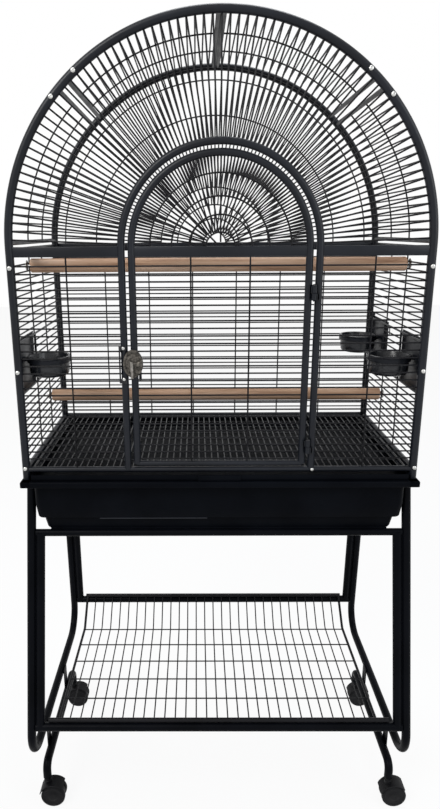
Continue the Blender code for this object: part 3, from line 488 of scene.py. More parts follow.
def lathe(work, outline, matrix, steps=32):
    """Adds an outline of (radius, height) turned about the matrix's Z axis. Radius 0 makes a pole."""
    rings = []
    for radius, height in outline:
        if radius == 0:
            rings.append([work.verts.new(matrix @ Vector((0, 0, height)))])
            continue
        turns = [2 * math.pi * j / steps for j in range(steps)]
        points = [Vector((radius * math.cos(t), radius * math.sin(t), height)) for t in turns]
        rings.append([work.verts.new(matrix @ point) for point in points])
    for low, high in zip(rings, rings[1:]):
        for j in range(steps):
            k = (j + 1) % steps
            corners = [low[j % len(low)], low[k % len(low)], high[k % len(high)], high[j % len(high)]]
            work.faces.new(list(dict.fromkeys(corners)))


def along_y(x, y, z):
    """A matrix whose Z axis points to +Y, for turned pieces that face front or back."""
    return Matrix.Translation((x, y, z)) @ Matrix.Rotation(-math.pi / 2, 4, "X")


def facing_front(x, y, z):
    """A matrix whose Z axis points to -Y."""
    return Matrix.Translation((x, y, z)) @ Matrix.Rotation(math.pi / 2, 4, "X")


def along_x(x, y, z):
    return Matrix.Translation((x, y, z)) @ Matrix.Rotation(math.pi / 2, 4, "Y")


def mirrored(work, side_x=1, side_y=1):
    """Mirrors all that is in the mesh so far, to the left for side_x -1 and to the front for side_y -1."""
    bmesh.ops.transform(work, matrix=Matrix.Diagonal((side_x, side_y, 1, 1)), verts=work.verts)
    if side_x * side_y < 0:
        bmesh.ops.reverse_faces(work, faces=work.faces)


def piece(name, work, material, body=CAGE, replaces=(), sharp=40):
    """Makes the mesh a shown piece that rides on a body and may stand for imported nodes."""
    mesh = bpy.data.meshes.new(name)
    work.to_mesh(mesh)
    work.free()
    mesh.materials.append(material)
    mesh.shade_smooth()
    mesh.set_sharp_from_angle(angle=math.radians(sharp))
    made = bpy.data.objects.new(name, mesh)
    bpy.context.scene.collection.objects.link(made)
    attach(made, body)
    if replaces:
        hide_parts(*replaces)


def on_arch(radius, turn, y):
    angle = math.radians(turn)
    return Vector((radius * math.cos(angle), y, ARCH_Z + radius * math.sin(angle)))


def row_height(row):
    return ROW_TOP - ROW_PITCH * row


def arch_path(radius, foot_z, y, steps=90):
    turns = [180 * i / steps for i in range(steps + 1)]
    return [(radius, y, foot_z)] + [on_arch(radius, turn, y) for turn in turns] + [(-radius, y, foot_z)]


def band(work, left, right, y):
    block(work, (left, y - BAND_T / 2, BAND_LOW), (right, y + BAND_T / 2, BAND_HIGH), 0.0012)


def fan(work, inner, outer, y, thinning=()):
    """Radial wires. Thinning lists (every, radius): a wire starts at the first radius whose rule it meets."""
    for number in range(1, round(180 / FAN_STEP)):
        turn = FAN_STEP * number
        start = next((radius for every, radius in thinning if number % every == 0), inner)
        start = max(start, FAN_CLEAR / math.sin(math.radians(turn)))
        if start < outer:
            sweep(work, [on_arch(start, turn, y), on_arch(outer, turn, y)], WIRE_R, WIRE_SIDES)


def half_rings(work, radii, y):
    for radius in radii:
        steps = 16 + round(radius * 180)
        path = [on_arch(radius, 180 * i / steps, y) for i in range(steps + 1)]
        foot = BAND_HIGH - RING_FOOT
        sweep(work, [(radius, y, foot)] + path + [(-radius, y, foot)], WIRE_R, WIRE_SIDES)


def across_rows(work, left, right, y):
    for row in ROWS:
        sweep(work, [(left, y, row_height(row)), (right, y, row_height(row))], WIRE_R, WIRE_SIDES)


def uprights(work, places, low):
    for x, y in places:
        sweep(work, [(x, y, low), (x, y, UPRIGHT_TOP)], WIRE_R, WIRE_SIDES)


def hinge_half(work, tube_x, side, low, top):
    """A knuckle with the leaf that ties it to the tube at tube_x."""
    middle = Matrix.Translation((HINGE_X, HINGE_Y, low))
    length = top - low
    edge = 0.0006
    outline = [
        (KNUCKLE_BORE_R, 0),
        (KNUCKLE_R - edge, 0),
        (KNUCKLE_R, edge),
        (KNUCKLE_R, length - edge),
        (KNUCKLE_R - edge, length),
        (KNUCKLE_BORE_R, length),
    ]
    lathe(work, outline + outline[:1], middle, 24)
    leaf_low, leaf_top = low + LEAF_INSET, top - LEAF_INSET
    reach = sorted((HINGE_X + side * KNUCKLE_BORE_R, tube_x))
    block(work, (reach[0], HINGE_Y - LEAF_BACK, leaf_low), (reach[1], HINGE_Y + LEAF_FRONT, leaf_top), 0.0004)
    root = sorted((tube_x - side * 0.003, tube_x + side * 0.001))
    block(work, (root[0], HINGE_Y - LEAF_BACK, leaf_low), (root[1], -PANEL_Y, leaf_top), 0.0004)


def front_panel():
    y = -PANEL_Y
    work = bmesh.new()
    sweep(work, arch_path(ARCH_R, RIM_TOP + GAP, y, 120), POST_R, 20)
    sweep(work, arch_path(JAMB_R, BASE_RAIL_Z, y), DOOR_TUBE_R, 18)
    sweep(work, [(-ARCH_R, y, BASE_RAIL_Z), (ARCH_R, y, BASE_RAIL_Z)], BASE_RAIL_R, 16)
    for height in HINGE_HEIGHTS.values():
        hinge_half(work, JAMB_R, 1, height - KNUCKLE_L - GAP / 2, height - GAP / 2)
    piece("front_frame", work, COAT, replaces=["front_panel"])
    work = bmesh.new()
    band(work, -ARCH_R, -JAMB_R, y)
    band(work, JAMB_R, ARCH_R, y)
    piece("front_bands", work, COAT)
    work = bmesh.new()
    across_rows(work, -ARCH_R, -JAMB_R, y + LAYER)
    across_rows(work, JAMB_R, ARCH_R, y + LAYER)
    middle = (ARCH_R + JAMB_R) / 2
    uprights(work, [(-middle, y - LAYER), (middle, y - LAYER)], BASE_RAIL_Z)
    fan(work, JAMB_R, ARCH_R, y + LAYER)
    piece("front_wires", work, WIRE_COAT)


def rear_panel():
    y = PANEL_Y
    work = bmesh.new()
    sweep(work, arch_path(ARCH_R, RIM_TOP + GAP, y, 120), POST_R, 20)
    sweep(work, [(-ARCH_R, y, BASE_RAIL_Z), (ARCH_R, y, BASE_RAIL_Z)], BASE_RAIL_R, 16)
    band(work, -ARCH_R, ARCH_R, y)
    low = (-ARCH_R, y - STRIP_HALF_T, RIM_TOP + GAP)
    block(work, low, (ARCH_R, y + STRIP_HALF_T, BASE_RAIL_Z), 0.0003)
    piece("rear_frame", work, COAT, replaces=["rear_panel"])
    work = bmesh.new()
    across_rows(work, -ARCH_R, ARCH_R, y - LAYER)
    uprights(work, [(REAR_UPRIGHT_PITCH * (i - 2.5), y + LAYER) for i in range(6)], BASE_RAIL_Z)
    fan(work, FAN_RINGS[3], ARCH_R, y - LAYER, [(4, FAN_RINGS[0]), (2, FAN_RINGS[2])])
    half_rings(work, FAN_RINGS + REAR_RINGS, y + LAYER)
    piece("rear_wires", work, WIRE_COAT)


def door():
    y = -PANEL_Y
    work = bmesh.new()
    sweep(work, arch_path(DOOR_R, DOOR_BASE_Z, y), DOOR_TUBE_R, 18)
    sweep(work, [(-DOOR_R, y, DOOR_BASE_Z), (DOOR_R, y, DOOR_BASE_Z)], BASE_RAIL_R, 16)
    band(work, -DOOR_R, DOOR_R, y)
    for height in HINGE_HEIGHTS.values():
        hinge_half(work, DOOR_R, -1, height + GAP / 2, height + GAP / 2 + KNUCKLE_L)
    piece("door_frame", work, COAT, "door", ["door"])
    work = bmesh.new()
    across_rows(work, -DOOR_R, DOOR_R, y + LAYER)
    uprights(work, [(-DOOR_UPRIGHT_X, y - LAYER), (DOOR_UPRIGHT_X, y - LAYER)], DOOR_BASE_Z)
    fan(work, FAN_RINGS[3], DOOR_R, y + LAYER, [(20, HUB_START), (4, FAN_RINGS[0]), (2, FAN_RINGS[2])])
    half_rings(work, FAN_RINGS, y - LAYER)
    piece("door_wires", work, WIRE_COAT, "door")
    for level, height in HINGE_HEIGHTS.items():
        work = bmesh.new()
        foot = height - KNUCKLE_L - PIN_TAIL
        top = height + KNUCKLE_L + GAP
        outline = [(0, foot), (0.0014, foot), (PIN_R, foot + 0.0006), (PIN_R, top)]
        outline += [(PIN_HEAD_R, top), (PIN_HEAD_R, top + 0.0008), (0.0032, top + 0.0021)]
        outline += [(0.0015, top + 0.0028), (0, top + 0.003)]
        lathe(work, outline, Matrix.Translation((HINGE_X, HINGE_Y, 0)), 20)
        node = f"door_hinge_pin_{level}"
        piece(f"hinge_pin_{level}", work, DARK_STEEL, replaces=[node])


def latch():
    """A cast oval plate with a raised bead and a boss, a turn lever, and a clip on the door frame's post."""
    front = -PANEL_Y - DOOR_TUBE_R - GAP
    back = -PANEL_Y + DOOR_TUBE_R
    work = bmesh.new()
    stretch = Matrix.Diagonal((1, LATCH_PLATE_STRETCH, 1, 1))
    place = facing_front(LATCH_PLATE_X, front, LATCH_Z) @ stretch
    outline = [
        (0, 0),
        (0.0168, 0),
        (LATCH_PLATE_R, 0.0012),
        (LATCH_PLATE_R, 0.0050),
        (0.0168, 0.0064),
        (0.0152, 0.0070),
        (0.0136, 0.0064),
        (0.0126, 0.0050),
        (0.0110, 0.0046),
        (0.0060, 0.0056),
        (0, 0.0060),
    ]
    lathe(work, outline, place, 48)
    piece("latch_escutcheon", work, CAST, "door", ["latch_plate"])
    work = bmesh.new()
    boss, shaft = SPINDLE_BOSS_R, SPINDLE_R
    outline = [(0, front - 0.0142), (shaft, front - 0.0142), (0.0052, front - 0.0132), (boss, front - 0.0118)]
    outline += [(boss, front - 0.0086), (shaft, front - 0.0080), (shaft, back + 0.0036), (0, back + 0.0040)]
    lathe(work, outline, along_y(LATCH_X, 0, LATCH_Z), 24)
    crank_low = (LEVER_X, front - CRANK_DEPTHS[0], LATCH_Z - CRANK_HALF_Z)
    block(work, crank_low, (LATCH_X, front - CRANK_DEPTHS[1], LATCH_Z + CRANK_HALF_Z), 0.0010, 3)
    piece("latch_spindle", work, CAST, "latch", ["latch_lever"])
    work = bmesh.new()
    finger_low = (LATCH_X - FINGER_LEFT, back + FINGER_DEPTHS[0], LATCH_Z - FINGER_DROP)
    finger_high = (LATCH_X + FINGER_RIGHT, back + FINGER_DEPTHS[1], LATCH_Z + FINGER_TOP)
    block(work, finger_low, finger_high, 0.0007)
    piece("latch_finger", work, DARK_STEEL, "latch")
    work = bmesh.new()
    spots = []
    for i, (rise, radius) in enumerate(LEVER_LEVELS):
        spots.append(((LEVER_X + LEVER_LEAN * i, front - LEVER_DEPTH, LATCH_Z + rise), radius))
    for (high, wide), (low, narrow) in zip(spots, spots[1:]):
        sweep(work, [high, low], (wide + narrow) / 2, 14)
    piece("latch_turn_lever", work, HIGHLIGHT_CAST, "latch")
    work = bmesh.new()
    strip_x = -JAMB_R - DOOR_TUBE_R - CLIP_STANDOFF
    post_front = -PANEL_Y - DOOR_TUBE_R
    clip_y = post_front - CLIP_FRONT
    block(work, (strip_x - CLIP_T, clip_y, CLIP_LOW), (strip_x, post_front + CLIP_BACK, CLIP_TOP), 0.0006)
    for low in CLIP_TONGUES:
        tongue_high = (CLIP_TONGUE_X, post_front - 2 * GAP, low + CLIP_TONGUE_H)
        block(work, (strip_x - 0.001, clip_y, low), tongue_high, 0.0006)
    piece("latch_clip", work, DARK_STEEL, replaces=["latch_keeper"])
    work = bmesh.new()
    for z in CLIP_RIVETS:
        bolt_head(work, facing_front(CLIP_RIVET_X, post_front - 0.0024, z), CLIP_RIVET_R, CLIP_RIVET_H)
    piece("latch_clip_rivets", work, STEEL)


def side_panel(name, side, feeder_ends):
    rail_x = ARCH_R
    rows_x = rail_x - LAYER
    low_row, top_row = row_height(FEEDER_ROWS[1]), row_height(FEEDER_ROWS[0])
    work = bmesh.new()
    for y in (-STILE_Y, STILE_Y):
        sweep(work, [(rail_x, y, RIM_TOP + GAP), (rail_x, y, BAND_HIGH - 0.001)], STILE_R, 14)
    sweep(work, [(rail_x, -STILE_Y, BASE_RAIL_Z), (rail_x, STILE_Y, BASE_RAIL_Z)], BASE_RAIL_R, 14)
    low = (rail_x - BAND_T / 2, -STILE_Y, BAND_LOW)
    block(work, low, (rail_x + BAND_T / 2, STILE_Y, BAND_HIGH - 0.002), 0.0012)
    block(work, (rail_x - LEDGE_OUT, -LEDGE_HALF_Y, LEDGE_LOW), (rail_x, LEDGE_HALF_Y, LEDGE_TOP), 0.0004)
    low = (rail_x - STRIP_HALF_T, -STILE_Y, RIM_TOP + GAP)
    block(work, low, (rail_x + STRIP_HALF_T, STILE_Y, BASE_RAIL_Z), 0.0003)
    for height in (low_row, top_row):
        sweep(work, [(rows_x, -STILE_Y, height), (rows_x, STILE_Y, height)], THICK_ROW_R, 10)
    for end in feeder_ends:
        y = end * FEEDER_INNER_Y
        sweep(work, [(rows_x, y, low_row), (rows_x, y, top_row)], FEEDER_BAR_R, 10)
    for end in feeder_ends:
        for low in (FEEDER_LOW - GAP - LUG_H, FEEDER_TOP + GAP):
            ys = sorted((end * LUG_Y, end * STILE_Y))
            block(work, (rail_x, ys[0], low), (FEEDER_AXIS_X + 0.002, ys[1], low + LUG_H), 0.0005)
    mirrored(work, side)
    piece(f"side_frame_{name}", work, COAT, replaces=[f"side_panel_{name}"])
    work = bmesh.new()
    for row in ROWS:
        short = FEEDER_ROWS[0] < row < FEEDER_ROWS[1]
        front = -FEEDER_INNER_Y if short and -1 in feeder_ends else -STILE_Y
        rear = FEEDER_INNER_Y if short and 1 in feeder_ends else STILE_Y
        if row not in FEEDER_ROWS:
            z = row_height(row)
            sweep(work, [(rows_x, front, z), (rows_x, rear, z)], WIRE_R, WIRE_SIDES)
    uprights(work, [(rail_x + LAYER, -SIDE_UPRIGHT_Y), (rail_x + LAYER, SIDE_UPRIGHT_Y)], BASE_RAIL_Z)
    mirrored(work, side)
    piece(f"side_wires_{name}", work, WIRE_COAT)


def feeder(name, side, end):
    """A plate with hemmed edges on a pivot rod, and a ring that carries a lipped bowl."""
    work = bmesh.new()
    pivot = [(FEEDER_AXIS_X, FEEDER_HINGE_Y, FEEDER_LOW), (FEEDER_AXIS_X, FEEDER_HINGE_Y, FEEDER_TOP)]
    sweep(work, pivot, FEEDER_PIVOT_R, 14)
    low = (FEEDER_AXIS_X - FEEDER_PLATE_HALF_T, FEEDER_EDGE_Y, FEEDER_LOW + 0.0005)
    block(work, low, (FEEDER_AXIS_X + FEEDER_PLATE_HALF_T, FEEDER_HINGE_Y, FEEDER_TOP - 0.0005), 0.0006)
    ring_z = BOWL_RIM_Z - BOWL_LIP - GAP - 0.004
    inner = BOWL_R + 0.0010
    outline = [(inner, -0.0034), (inner + 0.0006, -0.004), (RING_R - 0.0008, -0.004), (RING_R, -0.0032)]
    outline += [(radius, -height) for radius, height in reversed(outline)]
    lathe(work, outline + outline[:1], Matrix.Translation((BOWL_X, BOWL_Y, ring_z)), 48)
    low = (BOWL_X + RING_R - 0.0017, BOWL_Y - ARM_HALF_Y, ring_z - ARM_HALF_Z)
    block(work, low, (FEEDER_AXIS_X, BOWL_Y + ARM_HALF_Y, ring_z + ARM_HALF_Z), 0.0007)
    turns = [math.radians(15 * i) for i in range(24)]
    loop = [(CATCH_Y + CATCH_HALF_Y * math.cos(t), CATCH_Z + CATCH_HALF_Z * math.sin(t)) for t in turns]
    sweep(work, [(FEEDER_AXIS_X, y, z) for y, z in loop], CATCH_R, 10, closed=True)
    mirrored(work, side, end)
    piece(f"feeder_plate_{name}", work, COAT, f"feeder_{name}", [f"feeder_door_{name}"])
    work = bmesh.new()
    foot = BOWL_RIM_Z - BOWL_H
    wall = BOWL_R - BOWL_WALL
    outline = [(0, foot + 0.0012), (0.0255, foot + 0.0012), (0.0267, foot), (0.0300, foot)]
    outline += [(0.0332, foot + 0.0016), (0.0353, foot + 0.0050)]
    outline += [(0.0363, foot + 0.0100), (BOWL_R, foot + 0.0150)]
    outline += [(BOWL_R, BOWL_RIM_Z - BOWL_LIP), (RING_R - 0.0005, BOWL_RIM_Z - BOWL_LIP)]
    outline += [(RING_R, BOWL_RIM_Z - 0.0018), (RING_R, BOWL_RIM_Z - 0.0007), (RING_R - 0.0008, BOWL_RIM_Z)]
    outline += [(wall + 0.0008, BOWL_RIM_Z), (wall, BOWL_RIM_Z - 0.0010), (wall, foot + 0.0120)]
    outline += [(0.0320, foot + 0.0072), (0.0290, foot + 0.0042), (0.0245, foot + 0.0032), (0, foot + 0.0032)]
    lathe(work, outline, Matrix.Translation((BOWL_X, BOWL_Y, 0)), 56)
    mirrored(work, side, end)
    piece(f"bowl_{name}", work, BOWL, f"bowl_{name}", [f"feeder_bowl_{name}"])


def roof_setback(turn):
    """Degrees from an end of a roof panel to its end bar. The two bars at the crown lie close together."""
    return {0: ROOF_END_TURN, 90: ROOF_CROWN_TURN, 180: ROOF_END_TURN}.get(turn, ROOF_JOINT_TURN)


def roof_panel(name, start, stop):
    low = start + roof_setback(start)
    high = stop - roof_setback(stop)
    half = ROOF_ARC_Y
    reach = half + ROOF_BAR_PAST
    turns = [low + (high - low) * i / ROOF_STEPS for i in range(ROOF_STEPS + 1)]
    work = bmesh.new()
    for turn in (low, high):
        sweep(work, [on_arch(ARCH_R, turn, -reach), on_arch(ARCH_R, turn, reach)], STILE_R, 14)
    for y in (-half, half):
        sweep(work, [on_arch(ARCH_R, turn, y) for turn in turns], ROOF_ARC_R, 12)
    piece(f"roof_frame_{name}", work, COAT, replaces=[f"roof_panel_{name}"])
    work = bmesh.new()
    for y in (-half / 3, half / 3):
        sweep(work, [on_arch(ARCH_R - LAYER, turn, y) for turn in turns], WIRE_R, WIRE_SIDES)
    for number in range(1, round((stop - start) / FAN_STEP)):
        turn = start + FAN_STEP * number
        if low + ROOF_WIRE_TURN < turn < high - ROOF_WIRE_TURN:
            ends = [on_arch(ARCH_R + LAYER, turn, y) for y in (-half, half)]
            sweep(work, ends, WIRE_R, WIRE_SIDES)
    piece(f"roof_wires_{name}", work, WIRE_COAT)


def crown_strip():
    """The closed joint along the crown: a thin strip lies in the slot between the two bars."""
    work = bmesh.new()
    crown_z = ARCH_Z + ARCH_R
    low = (-CROWN_HALF_X, -ROOF_ARC_Y, crown_z - CROWN_HALF_Z)
    block(work, low, (CROWN_HALF_X, ROOF_ARC_Y, crown_z + CROWN_HALF_Z), 0.0003)
    piece("crown_strip", work, COAT)


def perches():
    end = PERCH_END
    chamfer = PERCH_CHAMFER
    for level, (z, y, radius) in PERCHES.items():
        work = bmesh.new()
        outline = [(0, -end), (radius - chamfer, -end), (radius, chamfer - end)]
        outline += [(radius, -end + 2 * end * i / 12) for i in range(1, 12)]
        outline += [(radius, end - chamfer), (radius - chamfer, end), (0, end)]
        lathe(work, outline, along_x(0, y, z), 28)
        piece(f"perch_rod_{level}", work, WOOD, replaces=[f"perch_{level}"])
        for name, side in SIDES.items():
            work = bmesh.new()
            washer = [(0, 0), (0.0092, 0), (0.0100, 0.0005), (0.0100, 0.0016), (0.0092, 0.0021), (0, 0.0021)]
            lathe(work, washer, along_x(ARCH_R + WASHER_OUT, y, z), 28)
            nut = [(0.0045, 0), (0.0045, 0.0020), (0.0038, 0.0026), (0.0024, 0.0032), (0, 0.0035)]
            lathe(work, [(0, 0)] + nut, along_x(ARCH_R + NUT_OUT, y, z), 6)
            stud = [(0, 0), (0.0015, 0), (0.0015, 0.0085), (0, 0.0085)]
            lathe(work, stud, along_x(end + GAP, y, z), 12)
            mirrored(work, side)
            node = f"perch_nut_{level}_{name}"
            piece(f"perch_fixing_{level}_{name}", work, STEEL, replaces=[node], sharp=30)


def bolt_head(work, matrix, radius, height, socket=0.45):
    """A domed head with a hollow socket, on the matrix's Z axis."""
    outline = [(0, 0), (radius, 0), (radius, height * 0.2)]
    for i in range(1, 5):
        turn = math.radians(90 * i / 5)
        outline.append((radius * math.cos(turn) ** 0.6, height * (0.2 + 0.8 * math.sin(turn))))
    hole = radius * socket
    outline += [(hole, height), (hole * 0.9, height * 0.55), (0, height * 0.5)]
    lathe(work, outline, matrix, 24)


def panel_bolts():
    front = -PANEL_Y - POST_R - GAP
    for name, side in SIDES.items():
        spots = {level: (side * ARCH_R, z) for level, z in BOLT_HEIGHTS.items()}
        for level, turn in BOLT_TURNS.items():
            spot = on_arch(ARCH_R, turn, front)
            spots[level] = (side * spot.x, spot.z)
        for level, (x, z) in spots.items():
            work = bmesh.new()
            bolt_head(work, facing_front(x, front, z), BOLT_R, BOLT_H)
            node = f"panel_bolt_{level}_{name}"
            piece(f"bolt_{level}_{name}", work, STEEL, replaces=[node])
    work = bmesh.new()
    place = facing_front(JAMB_R + JAMB_RIVET_SHIFT, -PANEL_Y - DOOR_TUBE_R, JAMB_RIVET_Z)
    bolt_head(work, place, JAMB_RIVET_R, JAMB_RIVET_H)
    piece("jamb_rivet", work, STEEL)


def pan_shell(work, top_z, radius, wall):
    """An open pan with a step low in its walls, rounded upright corners and a wall inside."""
    def ring(half, z):
        points = []
        for corner, (sx, sy) in enumerate(((1, 1), (-1, 1), (-1, -1), (1, -1))):
            centre = Vector((sx * (half[0] - radius), sy * (half[1] - radius), z))
            for i in range(7):
                turn = math.radians(90 * corner + 90 * i / 6)
                points.append(centre + Vector((math.cos(turn), math.sin(turn), 0)) * radius)
        return [work.verts.new(point) for point in points]

    def inset(half, by):
        return (half[0] - by, half[1] - by)

    step_low = inset(PAN_STEP, PAN_STEP_IN)
    levels = [
        ring(inset(PAN_LOW, 0.004), PAN_LOW_Z),
        ring(inset(PAN_LOW, 0.0012), PAN_LOW_Z + 0.0012),
        ring(PAN_LOW, PAN_LOW_Z + 0.004),
        ring(step_low, PAN_STEP_Z - 0.0020),
        ring(inset(PAN_STEP, 0.0008), PAN_STEP_Z - 0.0008),
        ring(PAN_STEP, PAN_STEP_Z + 0.0006),
        ring(PAN_TOP, PAN_CREASE_Z),
        ring(PAN_TOP, top_z),
        ring(inset(PAN_TOP, wall), top_z),
        ring(inset(PAN_TOP, wall), PAN_CREASE_Z),
        ring(inset(PAN_STEP, wall), PAN_STEP_Z + wall),
        ring(inset(step_low, wall), PAN_STEP_Z),
        ring(inset(PAN_LOW, wall), PAN_LOW_Z + 0.005),
        ring(inset(PAN_LOW, wall + 0.003), PAN_LOW_Z + wall),
    ]
    for low, high in zip(levels, levels[1:]):
        for j in range(len(low)):
            k = (j + 1) % len(low)
            work.faces.new((low[j], low[k], high[k], high[j]))
    work.faces.new(levels[0][::-1])
    work.faces.new(levels[-1])


def base_pan():
    work = bmesh.new()
    pan_shell(work, RIM_LOW + 0.002, PAN_CORNER_R, PAN_WALL)
    for side in SIDES.values():
        xs = sorted((side * RIM_HALF_X, side * (PAN_TOP[0] - 0.002)))
        block(work, (xs[0], -RIM_HALF_Y, RIM_LOW), (xs[1], RIM_HALF_Y, RIM_TOP), 0.0020, 3)
    for end in ENDS.values():
        ys = sorted((end * RIM_HALF_Y, end * (PAN_TOP[1] - 0.002)))
        block(work, (-RIM_HALF_X + 0.001, ys[0], RIM_LOW), (RIM_HALF_X - 0.001, ys[1], RIM_TOP), 0.0020, 3)
    piece("base_shell", work, SHADED_PAN_COAT, replaces=["base_pan"])
    # A seam bead in the lighter cage coat across part of the front: a real seam, and a painted highlight
    # where light catches the pan's lower edge
    work = bmesh.new()
    sweep(work, [(x, -PAN_STEP[1] + SEAM_IN, PAN_STEP_Z - SEAM_DROP) for x in HIGHLIGHT_SEAM_X], SEAM_R, 8)
    piece("pan_seam_painted_highlight", work, COAT)
    work = bmesh.new()
    seat_x = PAN_LOW[0] - SEAT_IN
    for end in ENDS.values():
        ys = sorted((end * SEAT_INNER_Y, end * (PAN_LOW[1] - GAP)))
        block(work, (-seat_x, ys[0], PAN_LOW_Z - SEAT_LOW), (seat_x, ys[1], PAN_LOW_Z + SEAT_HIGH), 0.0004)
    piece("pan_seat_strips", work, SHADED_PAN_COAT)


def litter_tray():
    low = RIM_TOP + GAP
    work = bmesh.new()
    half = TRAY_HALF_X
    block(work, (-half, TRAY_FRONT_Y, low), (half, TRAY_BACK_Y, low + SHEET), 0.0005)
    for side in SIDES.values():
        xs = sorted((side * half, side * (half - SHEET)))
        block(work, (xs[0], TRAY_FRONT_Y, low), (xs[1], TRAY_BACK_Y, TRAY_TOP), 0.0006)
    block(work, (-half, TRAY_FRONT_Y, low), (half, TRAY_FRONT_Y + SHEET, TRAY_TOP), 0.0006)
    block(work, (-half, TRAY_BACK_Y - SHEET, low), (half, TRAY_BACK_Y, TRAY_TOP), 0.0006)
    tab_low = (-TRAY_TAB_HALF_X, TRAY_FRONT_Y - TRAY_TAB_OUT, low + 0.0004)
    block(work, tab_low, (TRAY_TAB_HALF_X, TRAY_FRONT_Y + 0.001, TRAY_TOP - 0.0004), 0.0010)
    piece("tray_sheet", work, SHADED_PAN_COAT, "tray", ["litter_tray"])


def floor_grate():
    half_x, half_y = GRATE_HALF_X, GRATE_HALF_Y
    work = bmesh.new()
    corners = [(0, -half_y), (half_x, -half_y), (half_x, half_y)]
    corners += [(-half_x, half_y), (-half_x, -half_y), (0, -half_y)]
    loop = filleted([(x, y, GRATE_Z) for x, y in corners], GRATE_CORNER_R, 6)[:-1]
    sweep(work, loop, GRATE_R, 12, closed=True)
    for i in range(1, GRATE_BAYS):
        x = -half_x + 2 * half_x / GRATE_BAYS * i
        sweep(work, [(x, y, GRATE_Z + GRATE_LAYER) for y in (-half_y, half_y)], GRATE_WIRE_R, WIRE_SIDES)
    for i in range(1, GRATE_CROSS_BAYS):
        y = -half_y + 2 * half_y / GRATE_CROSS_BAYS * i
        sweep(work, [(x, y, GRATE_Z - GRATE_LAYER) for x in (-half_x, half_x)], GRATE_WIRE_R, WIRE_SIDES)
    piece("grate_wires", work, GRATE_COAT, replaces=["floor_grate"])


def leg_point(height):
    share = (LEG_TOP.z - height) / (LEG_TOP.z - LEG_FOOT.z)
    return LEG_TOP.lerp(LEG_FOOT, share)


def stand():
    for name, side in SIDES.items():
        corners = [(leg.x, -leg.y, leg.z) for leg in (LEG_TOP, LEG_FOOT)] + [LEG_FOOT, LEG_TOP]
        work = bmesh.new()
        sweep(work, filleted(corners, HOOP_BEND, 14), STAND_R, STAND_SIDES)
        mirrored(work, side)
        piece(f"stand_hoop_{name}", work, SHADED_STAND_COAT, replaces=[f"stand_side_{name}"])
        work = bmesh.new()
        ends = (STEM_Y["front"], STEM_Y["rear"])
        corners = [(RUNNER_X, ends[0], ELBOW_LOW_Z), (RUNNER_X, ends[0], RUNNER_Z)]
        corners += [(RUNNER_X, ends[1], RUNNER_Z), (RUNNER_X, ends[1], ELBOW_LOW_Z)]
        sweep(work, filleted(corners, RUNNER_BEND, 10), STAND_R, STAND_SIDES)
        for y in STRAP_PLACES:
            low = (RUNNER_X + STRAP_IN, y - STRAP_HALF_Y, RUNNER_Z - STRAP_LOW)
            block(work, low, (LEG_FOOT.x - STAND_R - GAP, y + STRAP_HALF_Y, STRAP_TOP), 0.0005)
        mirrored(work, side)
        piece(f"runner_tube_{name}", work, SHADED_STAND_COAT, replaces=[f"castor_runner_{name}"])
    for name, end in ENDS.items():
        inboard = Vector((2 * STAND_R + GAP, 0, 0))
        top = leg_point(CROSS_TOP_Z) - inboard
        foot = leg_point(SHELF_RAIL_Z) - inboard
        flip = Matrix.Diagonal((-1, 1, 1))
        outward = Vector((STAND_R, 0, 0))
        work = bmesh.new()
        for corner, radius in ((top, CROSS_TOP_R), (foot, STAND_R)):
            sweep(work, [flip @ (corner + outward), corner + outward], radius, STAND_SIDES)
        for turn in (flip, Matrix.Identity(3)):
            sweep(work, [turn @ foot, turn @ top], STAND_R, STAND_SIDES)
            sweep(work, [turn @ (foot + inboard / 2), turn @ (top + inboard / 2)], STAND_WEB_R, 10)
        mirrored(work, 1, end)
        piece(f"stand_loop_{name}", work, SHADED_STAND_COAT, replaces=[f"stand_cross_{name}"])


def shelf_basket():
    rail = leg_point(SHELF_RAIL_Z)
    edge_y = rail.y - SHELF_EDGE_IN
    edge_z = SHELF_RAIL_Z + STAND_R + GAP + SHELF_EDGE_R
    floor_z = SHELF_RAIL_Z - SHELF_DROP
    half_x = rail.x - 3 * STAND_R - GAP - SHELF_IN
    end_x = half_x - SHELF_END_IN

    def dip(x, shift=0.0):
        corners = [(x, -edge_y, edge_z), (x, -SHELF_FLOOR_Y, floor_z + shift)]
        corners += [(x, SHELF_FLOOR_Y, floor_z + shift), (x, edge_y, edge_z)]
        return filleted(corners, SHELF_BEND, 6)

    work = bmesh.new()
    for y in (-edge_y, edge_y):
        sweep(work, [(-half_x, y, edge_z), (half_x, y, edge_z)], SHELF_EDGE_R, 12)
    for x in (-end_x, end_x):
        sweep(work, dip(x, -LAYER), SHELF_END_R, 12)
    for i in range(1, SHELF_WIRES - 1):
        sweep(work, dip(-end_x + 2 * end_x / (SHELF_WIRES - 1) * i), WIRE_R, WIRE_SIDES)
    for i in range(SHELF_CROSS):
        y = SHELF_CROSS_PITCH * (i - (SHELF_CROSS - 1) / 2)
        z = floor_z - 2 * LAYER
        sweep(work, [(-end_x, y, z), (end_x, y, z)], WIRE_R, WIRE_SIDES)
    piece("shelf_wires", work, WIRE_COAT, replaces=["shelf_basket"])


